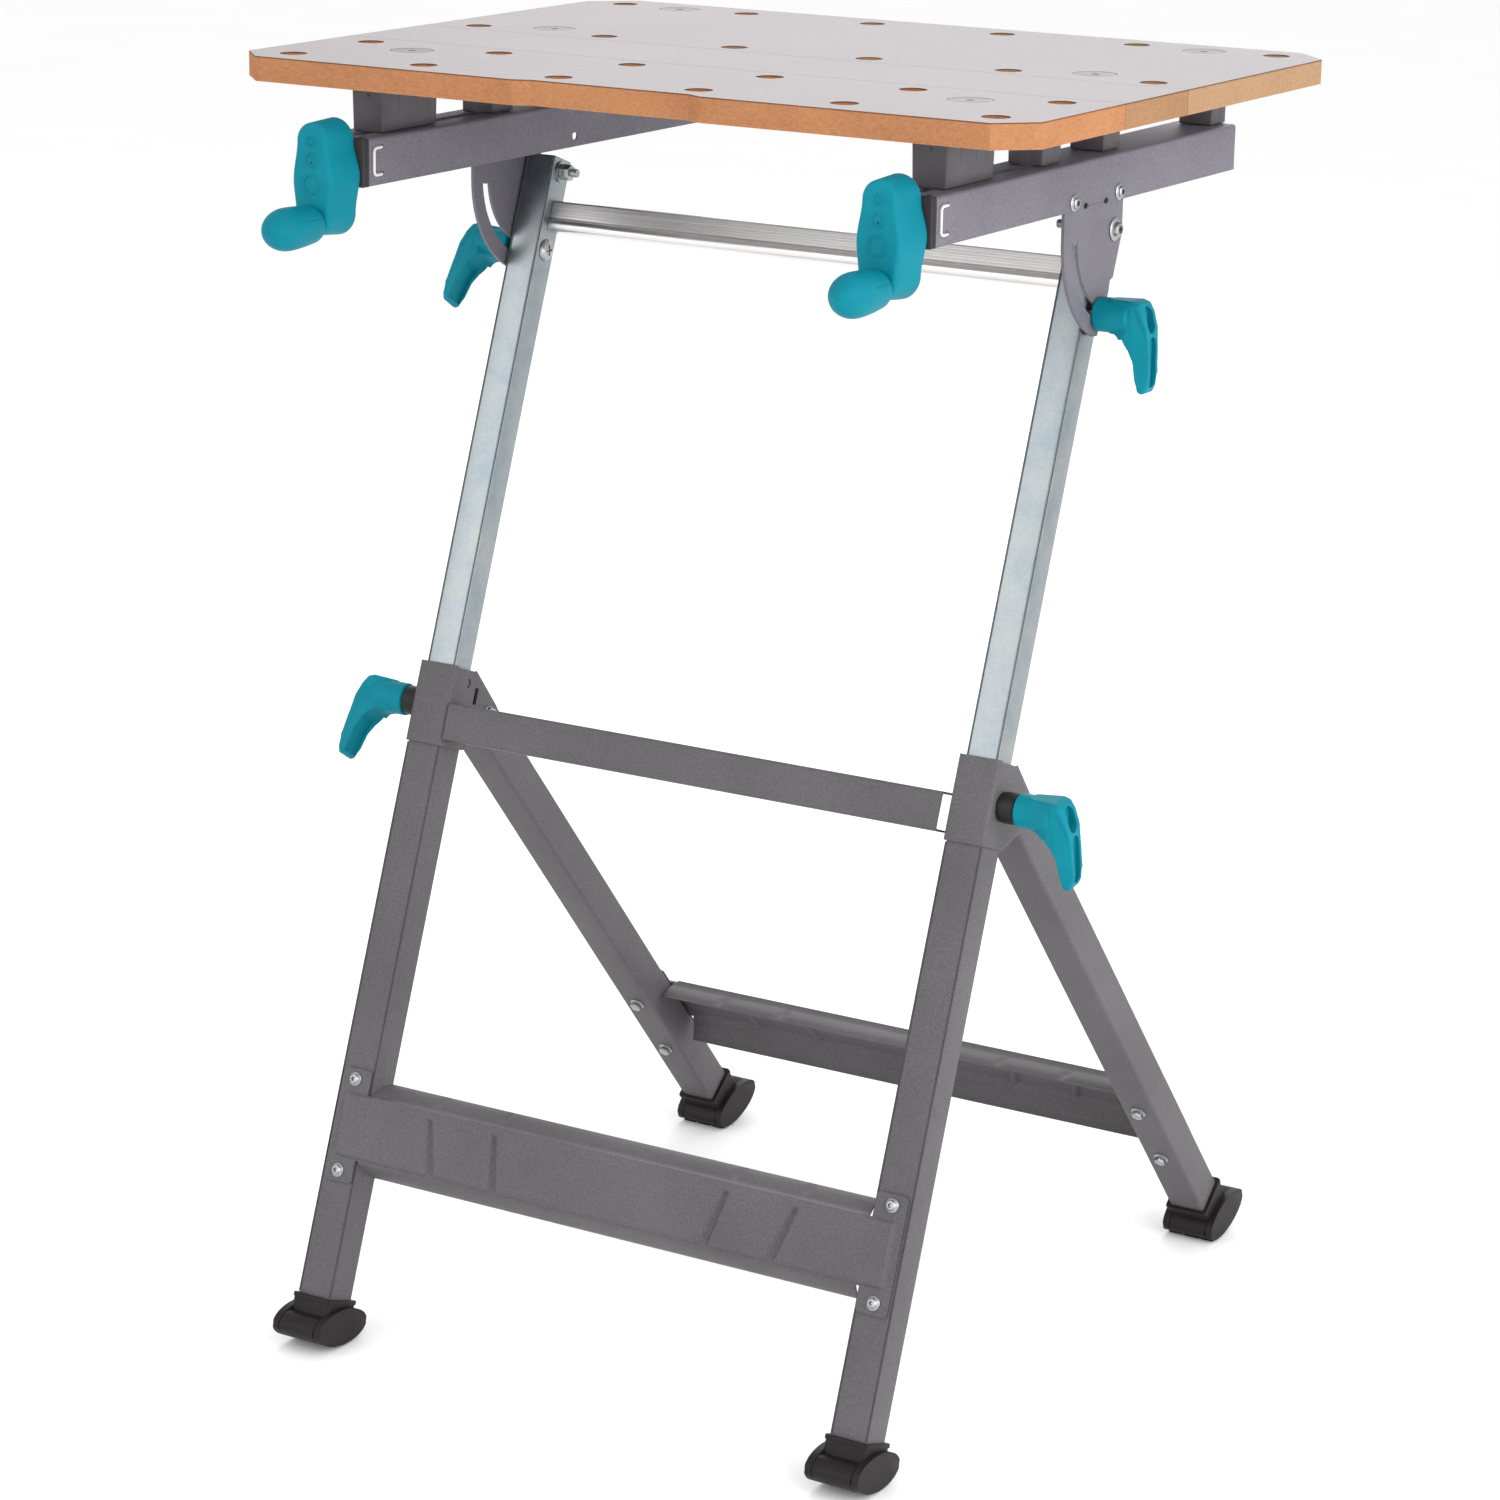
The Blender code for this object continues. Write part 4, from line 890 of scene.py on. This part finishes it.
def crank(side_name, side):
    x = side * BEAM_X
    bm = bmesh.new()
    back = crank_outline((0.016, 0.016), (-0.0085, 0.0212), (-0.035, 0.0174))
    front = crank_outline((0.0175, 0.0134), (-0.011, 0.0172), (-0.035, 0.015))

    def section(t, pull, y):
        blend = [(a[0] + (b[0] - a[0]) * t, a[1] + (b[1] - a[1]) * t) for a, b in zip(back, front)]
        return [(x + u, y, SPINDLE_Z + v) for u, v in inset(blend, pull)]

    rings = [section(0, 0.0012, -0.2475), section(0, 0.0003, -0.2478), section(0, 0, -0.2487)]
    round_r = 0.0036
    for i in range(1, 8):
        rings.append(section(i / 8, 0, -0.2487 - (0.278 - round_r - 0.2487) * i / 8))
    for a in (15, 30, 45, 60, 75, 90):
        rings.append(section(1, round_r * (1 - cos(radians(a))), -0.278 + round_r * (1 - sin(radians(a)))))
    rings.append(section(1, round_r + 0.0012, -0.278))
    add_rings(bm, rings)
    for z, r in ((0.0175, 0.0034), (0.0042, 0.0046), (-0.013, 0.0067)):
        add_lathe(bm, [(r - 0.0009, -0.0004), (r - 0.0004, 0.0008), (r + 0.0004, 0.0008),
                       (r + 0.0009, -0.0004)], axis_frame((x, -0.278, SPINDLE_Z + z), (0, -1, 0)), 40)
    piece = make(f"crank_{side_name}_look", bm, TEAL, f"crank_{side_name}", smooth=40)
    dot = bmesh.new()
    add_disc(dot, axis_frame((x + 0.0004, -0.2779, SPINDLE_Z + 0.0026), (0, -1, 0)), 0.0008, 0, 0.0002, 14)
    make(f"crank_{side_name}_pip", dot, BLACK, f"crank_{side_name}")
    knob = bmesh.new()
    z = 0.8635
    profile = [(0, 0), (0.0115, 0), (0.0124, 0.0002), (0.0131, 0.0009), (0.0135, 0.002)]
    profile += [(0.0135 + 0.002 * sin(radians(90 * t / 6)), 0.002 + 0.027 * t / 6) for t in range(1, 7)]
    profile += [(0.0155 * cos(radians(a)), 0.029 + 0.0214 * sin(radians(a))) for a in range(6, 90, 6)]
    profile += [(0.0013, 0.0504), (0.0008, 0.05), (0, 0.0498)]
    where = axis_frame((x, -0.2784, z), (0, -1, 0))
    add_lathe(knob, profile, where, 64)
    for a in (20, 200):
        ridge = []
        for t in range(0, 9):
            h = 0.003 + 0.02 * t / 8
            r = 0.0135 + 0.002 * sin(radians(min(90, 90 * (h - 0.002) / 0.027)))
            ridge.append((x + r * cos(radians(a)), -0.2784 - h, z + r * sin(radians(a))))
        add_wire(knob, ridge, 0.0006, 6)
    make(f"crank_knob_{side_name}_look", knob, TEAL, f"knob_{side_name}", smooth=35)


# ---- clamp levers ----
LEVER_SCALE = Matrix.Diagonal((0.96, 0.98, 0.97, 1.0))
LEVER = [(0.012, 0.013), (0.033, 0.0135), (0.0385, 0.0118), (0.0425, 0.005), (0.0452, -0.006),
         (0.0468, -0.02), (0.0475, -0.04), (0.0468, -0.049), (0.044, -0.0545), (0.0412, -0.0555),
         (0.0385, -0.0535), (0.037, -0.045), (0.0352, -0.032), (0.0325, -0.0215), (0.0285, -0.0155),
         (0.0235, -0.0131), (0.012, -0.013)]


def clamp_lever(name, side, start, y, z, rest, body):
    """A moulded hub and arm, drawn as one soft body with pockets on both faces of the arm."""
    bm = bmesh.new()
    add_rings(bm, [[(u, w, v) for u, v in LEVER] for w in (-0.012, 0.012)])
    rims = [e for e in bm.edges if abs(e.verts[0].co.y - e.verts[1].co.y) < 1e-6]
    bmesh.ops.bevel(bm, geom=rims, offset=0.003, segments=3, profile=0.5, affect="EDGES", clamp_overlap=True)
    for v in bm.verts:
        down = min(1, max(0, -v.co.z / 0.05))
        inner_face = 0.0235 + 0.0135 * min(1, max(0, (-v.co.z - 0.013) / 0.022))
        outer_share = min(1, max(0, (v.co.x - inner_face) / 0.0105))
        hub_share = min(1, max(0, (0.033 - v.co.x) / 0.021)) if v.co.z > -0.014 else 0
        narrow = min(1, max(0.25, -v.co.z / 0.012))
        v.co.y *= (1 - 0.08 * down) * (1 - 0.3 * outer_share * narrow) * (1 - 0.45 * hub_share)
    add_lathe(bm, [(0, 0.0002), (0.0118, 0.0002), (0.013, 0.0012), (0.013, 0.028), (0.01, 0.03), (0, 0.03)],
              axis_frame((0, 0, 0), (1, 0, 0)), 40)
    outward(bm)
    mesh = mesh_of(bm, name)
    mesh.materials.append(TEAL)
    piece = linked(f"{name}_look", mesh)
    modify(piece, "REMESH", mode="VOXEL", voxel_size=0.0006)
    apply(piece)
    eye, slot, hollow = bmesh.new(), bmesh.new(), bmesh.new()
    add_prism(eye, arc(0, 0.0035, 0.0058, 0, 180, 8) + arc(0, -0.0045, 0.0058, 180, 360, 8), 0.0372, 0.06,
              ACROSS)
    add_prism(slot, arc(0, -0.018, 0.005, 0, 180, 8) + arc(0, -0.046, 0.0046, 180, 360, 8), 0.0424, 0.06,
              ACROSS)
    outline = [(0.015, -0.015), (0.029, -0.0165), (0.036, -0.0215), (0.0395, -0.032), (0.0407, -0.044),
               (0.0405, -0.0515), (0.03, -0.0522), (0.015, -0.0505)]
    add_rings(hollow, [[(u, w, v) for u, v in outline] for w in (-0.0084, 0.0084)])
    for pocket in (eye, slot, hollow):
        cut(piece, pocket, solver="MANIFOLD")
    modify(piece, "REMESH", mode="VOXEL", voxel_size=0.00052)
    modify(piece, "SMOOTH", factor=0.6, iterations=3)
    modify(piece, "DECIMATE", ratio=0.3)
    apply(piece, 60)
    turn = Matrix.Rotation(radians(rest), 4, "X")
    mirror = Matrix.Identity(4) if side > 0 else Matrix.Rotation(pi, 4, "Z")
    axis = Matrix.Translation((0, y + CENTRING, z)) @ turn
    piece.data.transform(axis @ Matrix.Translation((side * start, 0, 0)) @ mirror @ LEVER_SCALE)
    piece.data.materials.clear()
    piece.data.materials.append(TEAL)
    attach(piece, body)
    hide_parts(name)


for side_name, side in SIDES:
    beam(side_name, side)
    end_cap(side_name, side)
    clip(f"clip_outer_{side_name}", side * (BEAM_X + BEAM_HALF), side)
    clip(f"clip_inner_{side_name}", side * (BEAM_X - BEAM_HALF), -side)
    crank(side_name, side)
    x = side * BEAM_X
    block(f"front_jaw_block_{side_name}", x, -0.209, -0.141, 0.9223, 0.9577, "front_jaw", 0.07)
    block(f"middle_block_{side_name}", x, -0.07, -0.042, 0.9223, 0.9577, "table", 0.03)
    block(f"rear_inner_block_{side_name}", x, 0.025, 0.051, 0.9223, 0.9577, "table", 0.03)
    block(f"rear_outer_block_{side_name}", x, 0.205, 0.2295, 0.9223, 0.9577, "table", 0.03)
    clamp_lever(f"tilt_lever_{side_name}", side, 0.2535, CLAMP_Y, CLAMP_Z, -33 if side < 0 else 0,
                f"tilt_lever_{side_name}")
    clamp_lever(f"height_lever_{side_name}", side, 0.2672, HEIGHT_Y, HEIGHT_Z, -33 if side < 0 else 8,
                f"height_lever_{side_name}")
discs()


# ---- feet ----
def foot(name, y, tilt, where, sleeve_low, sleeve_top, sleeve_n, side, body):
    """Oval roller with cheeks, a sole strip and a rimmed sleeve round the leg."""
    x = side * LEG_X
    drop = ((0.031 * sin(tilt)) ** 2 + (0.014 * cos(tilt)) ** 2) ** 0.5
    height = drop + 0.0012
    across = Matrix.Translation((x, y, height)) @ Matrix.Rotation(tilt, 4, "X") @ ACROSS
    oval = [(0.031 * cos(2 * pi * i / 72), 0.014 * sin(2 * pi * i / 72)) for i in range(72)]
    low_back = [(u, min(v, 0.0095)) for u, v in oval]
    bm = bmesh.new()
    add_prism(bm, low_back, -0.0158, 0.0158, across)
    for edge in (-1, 1):
        ends = sorted((edge * 0.0164, edge * 0.022))
        add_prism(bm, oval, ends[0], ends[1], across, 0.0009, 3)
        ends = sorted((edge * 0.0156, edge * 0.0166))
        add_prism(bm, inset(oval, 0.001), ends[0], ends[1], across)
    lowest = y - (0.031 ** 2 - 0.014 ** 2) * sin(tilt) * cos(tilt) / drop
    for start, end in ((-0.02, -0.0085), (-0.006, 0.006), (0.0085, 0.02)):
        add_box(bm, (x + start, lowest - 0.008, 0.0001), (x + end, lowest + 0.008, height / 2), 0.0006)
    half = 0.0175
    for low, high, grow in ((sleeve_low, sleeve_top - 0.003, 0.0), (sleeve_top - 0.0032, sleeve_top, 0.0007)):
        outer = [(x + u, sleeve_n + v) for u, v in round_square(half + grow, 0.0028)]
        inner = [(x + u, sleeve_n + v) for u, v in round_square(0.0153, 0.0022)]
        rings = ((outer, low), (outer, high - 0.0004), (inset(outer, 0.0005), high), (inner, high),
                 (inner, high - 0.006))
        add_rings(bm, [[where @ Vector((u, n, s)) for u, n in loop] for loop, s in rings])
    make(f"{name}_look", bm, FOOT, body, smooth=35)


# ---- pivots, bushes and latches ----
def pivots(side_name, side):
    x = side * LEG_X
    out = Vector((side, 0, 0))
    inner = side * (LEG_X - 0.0125)

    def at(across, s, direction, n=LEG_N):
        return axis_frame(FRONT @ Vector((across, n, s)), direction)

    bm = bmesh.new()
    add_lathe(bm, [(0, -0.0002), (0.0083, -0.0002), (0.0083, 0.0008), (0.0076, 0.0014), (0.0055, 0.0018),
                   (0.0052, 0.004), (0.0044, 0.0049), (0.0033, 0.005), (0.0027, 0.005, 0.14),
                   (0.0026, 0.0026, 0.14), (0, 0.0026)], at(side * 0.2535, PIVOT_S, out), 40)
    add_disc(bm, at(inner, PIVOT_S, -out), 0.0083, 0, 0.0014, 32)
    add_nut(bm, at(inner - side * 0.0014, PIVOT_S, -out), 0.0108, 0.0085)
    add_thread(bm, at(inner - side * 0.009, PIVOT_S, -out), 0.0033, 0.0, 0.0065)
    add_disc(bm, at(side * 0.2487, PIVOT_S, out), 0.008, 0, 0.002, 32)
    make(f"tilt_pivot_bolt_{side_name}_look", bm, STEEL, "height_frame")

    bm = bmesh.new()
    where = at(inner, CLAMP_S, -out)
    add_lathe(bm, [(0, 0), (0.0083, 0), (0.0085, 0.0004), (0.0083, 0.001), (0.0074, 0.002), (0.006, 0.0029),
                   (0.004, 0.0035), (0, 0.0037)], where, 40)
    add_disc(bm, where, 0.0039, -0.03, 0, 20)
    bolt = make(f"tilt_clamp_bolt_{side_name}_look", bm, STEEL, "height_frame")
    for u, v in ((0.0042, 0.0008), (0.0008, 0.0042)):
        slot = bmesh.new()
        add_box(slot, (-u, -v, 0.0018), (u, v, 0.006), where=where)
        carve(bolt, slot)

    bm = bmesh.new()
    add_lathe(bm, [(0, 0), (0.0075, 0), (0.0075, 0.001), (0.0066, 0.0018), (0.005, 0.002), (0.0048, 0.0038),
                   (0.004, 0.0045), (0.003, 0.0045, 0.12), (0.0029, 0.0028, 0.12), (0, 0.0028)],
              at(side * 0.2534, HEIGHT_S, out, FOLD_N), 36)
    add_nut(bm, at(side * 0.2186, HEIGHT_S, -out, FOLD_N), 0.0125, 0.004, 0.0075)
    add_thread(bm, at(side * 0.215, HEIGHT_S, -out, FOLD_N), 0.0036, 0.0, 0.003)
    make(f"fold_pivot_bolt_{side_name}_look", bm, STEEL, "front_frame")

    bm = bmesh.new()
    add_lathe(bm, [(0.0042, 0), (0.0104, 0), (0.011, 0.0006), (0.0115, 0.004), (0.0114, 0.0128),
                   (0.0108, 0.0134), (0.0042, 0.0134), (0.0042, 0)], at(side * 0.2535, HEIGHT_S, out), 40)
    make(f"spacer_bush_{side_name}_look", bm, BLACK, "front_frame")

    bm = bmesh.new()
    add_box(bm, (x - 0.0149, 0.0304, 0.506), (x + 0.0149, 0.0328, 0.5245), 0.0006, 2, FRONT)
    add_box(bm, (x - side * 0.011 - 0.003, 0.03, 0.508), (x - side * 0.011 + 0.003, 0.0345, 0.5205), 0.0006,
            2, FRONT)
    make(f"fold_latch_{side_name}_look", bm, BLACK, "front_frame")

    for row, s in (("low", 0.14), ("high", 0.2108)):
        flange_bolt(f"front_panel_screw_{row}_{side_name}", (x, -0.0019, s), (0, -1, 0), "front_frame",
                    0.0054, 0.0037, 0.0022, where=FRONT)
        flange_bolt(f"rear_panel_screw_{row}_{side_name}", (x, 0.0169, s), (0, 1, 0), "rear_frame", 0.0054,
                    0.0037, 0.0022, where=PANEL_REAR)
        bm = bmesh.new()
        add_nut(bm, axis_frame((x, -0.0151, s), (0, -1, 0)), 0.008, 0.0052, 0.006)
        make(f"rear_panel_nut_{row}_{side_name}", bm, STEEL, "rear_frame", where=PANEL_REAR)
    for row, y in (("front", -0.0375), ("rear", 0.0334)):
        flange_bolt(f"bracket_screw_{row}_{side_name}", (side * 0.255, y, 0.894), (side, 0, 0), "table",
                    0.006, 0.0041, 0.0024)
    bm = bmesh.new()
    for y in (-0.019, 0.013):
        add_box(bm, (side * 0.2552 - 0.0008, y - 0.0032, 0.8893), (side * 0.2552 + 0.0008, y + 0.0032,
                0.8905), 0.0003)
        add_box(bm, (side * 0.2552 - 0.0008, y - 0.001, 0.888), (side * 0.2552 + 0.0008, y + 0.001, 0.892),
                0.0003)
    for k in range(5):
        add_box(bm, (side * 0.2549 - 0.0003, -0.013 + k * 0.0045, 0.8896),
                (side * 0.2549 + 0.0003, -0.0105 + k * 0.0045, 0.8899))
    make(f"bracket_tabs_{side_name}", bm, BLACK, "table")


def painted_reflection_line(name, x, n, span, radius, material, body):
    """A painted reflection: the dark line that a rolled tube's corner reflects, drawn as a thin dark wire
    along it.
    """
    bm = bmesh.new()
    steps = 6
    add_wire(bm, [FRONT @ Vector((x, n, span[0] + (span[1] - span[0]) * i / steps))
                  for i in range(steps + 1)], radius, 6)
    make(name, bm, material, body)


for side_name, side in SIDES:
    foot(f"front_foot_{side_name}", -0.279, radians(-8.0), FRONT, 0.0137, 0.042, 0.015, side, "front_frame")
    foot(f"rear_foot_{side_name}", 0.3035, radians(18.0), REAR, 0.0217 - REAR_REACH, 0.052 - REAR_REACH, 0.0,
         side, "rear_frame")
    pivots(side_name, side)
    for edge in (-1, 1):
        tag = f"{side_name}_{'out' if edge == side else 'in'}"
        # painted dark reflections along both front corners of the upright and of the front leg
        painted_reflection_line(f"upright_seam_{tag}", side * LEG_X + edge * 0.0121, 0.0029, (0.5372, 0.9378), 0.00055,
                  ZINC_CORNER_REFLECTION, "height_frame")
        painted_reflection_line(f"front_leg_painted_reflection_{tag}", side * LEG_X + edge * 0.0145, 0.0005, (0.043, 0.473), 0.00065,
                  PAINT_CORNER_REFLECTION, "front_frame")
    soften(node[f"tilt_bracket_{side_name}"], 0.00045, 2, 40)
    soften(node[f"spindle_{side_name}"], 0.0003, 2, 40)


# ---- floor ----
bm = bmesh.new()
bmesh.ops.create_grid(bm, x_segments=1, y_segments=1, size=30, matrix=Matrix.Translation((0, 0, -0.0005)))
floor = linked("floor", mesh_of(bm, "floor"))
sand = Shader("pale_floor", 0.9)
sand.colour(sand.ramp(sand.noise(3, 2), [(0.3, 0.975), (0.7, 0.99)]))
floor.data.materials.append(sand.material)
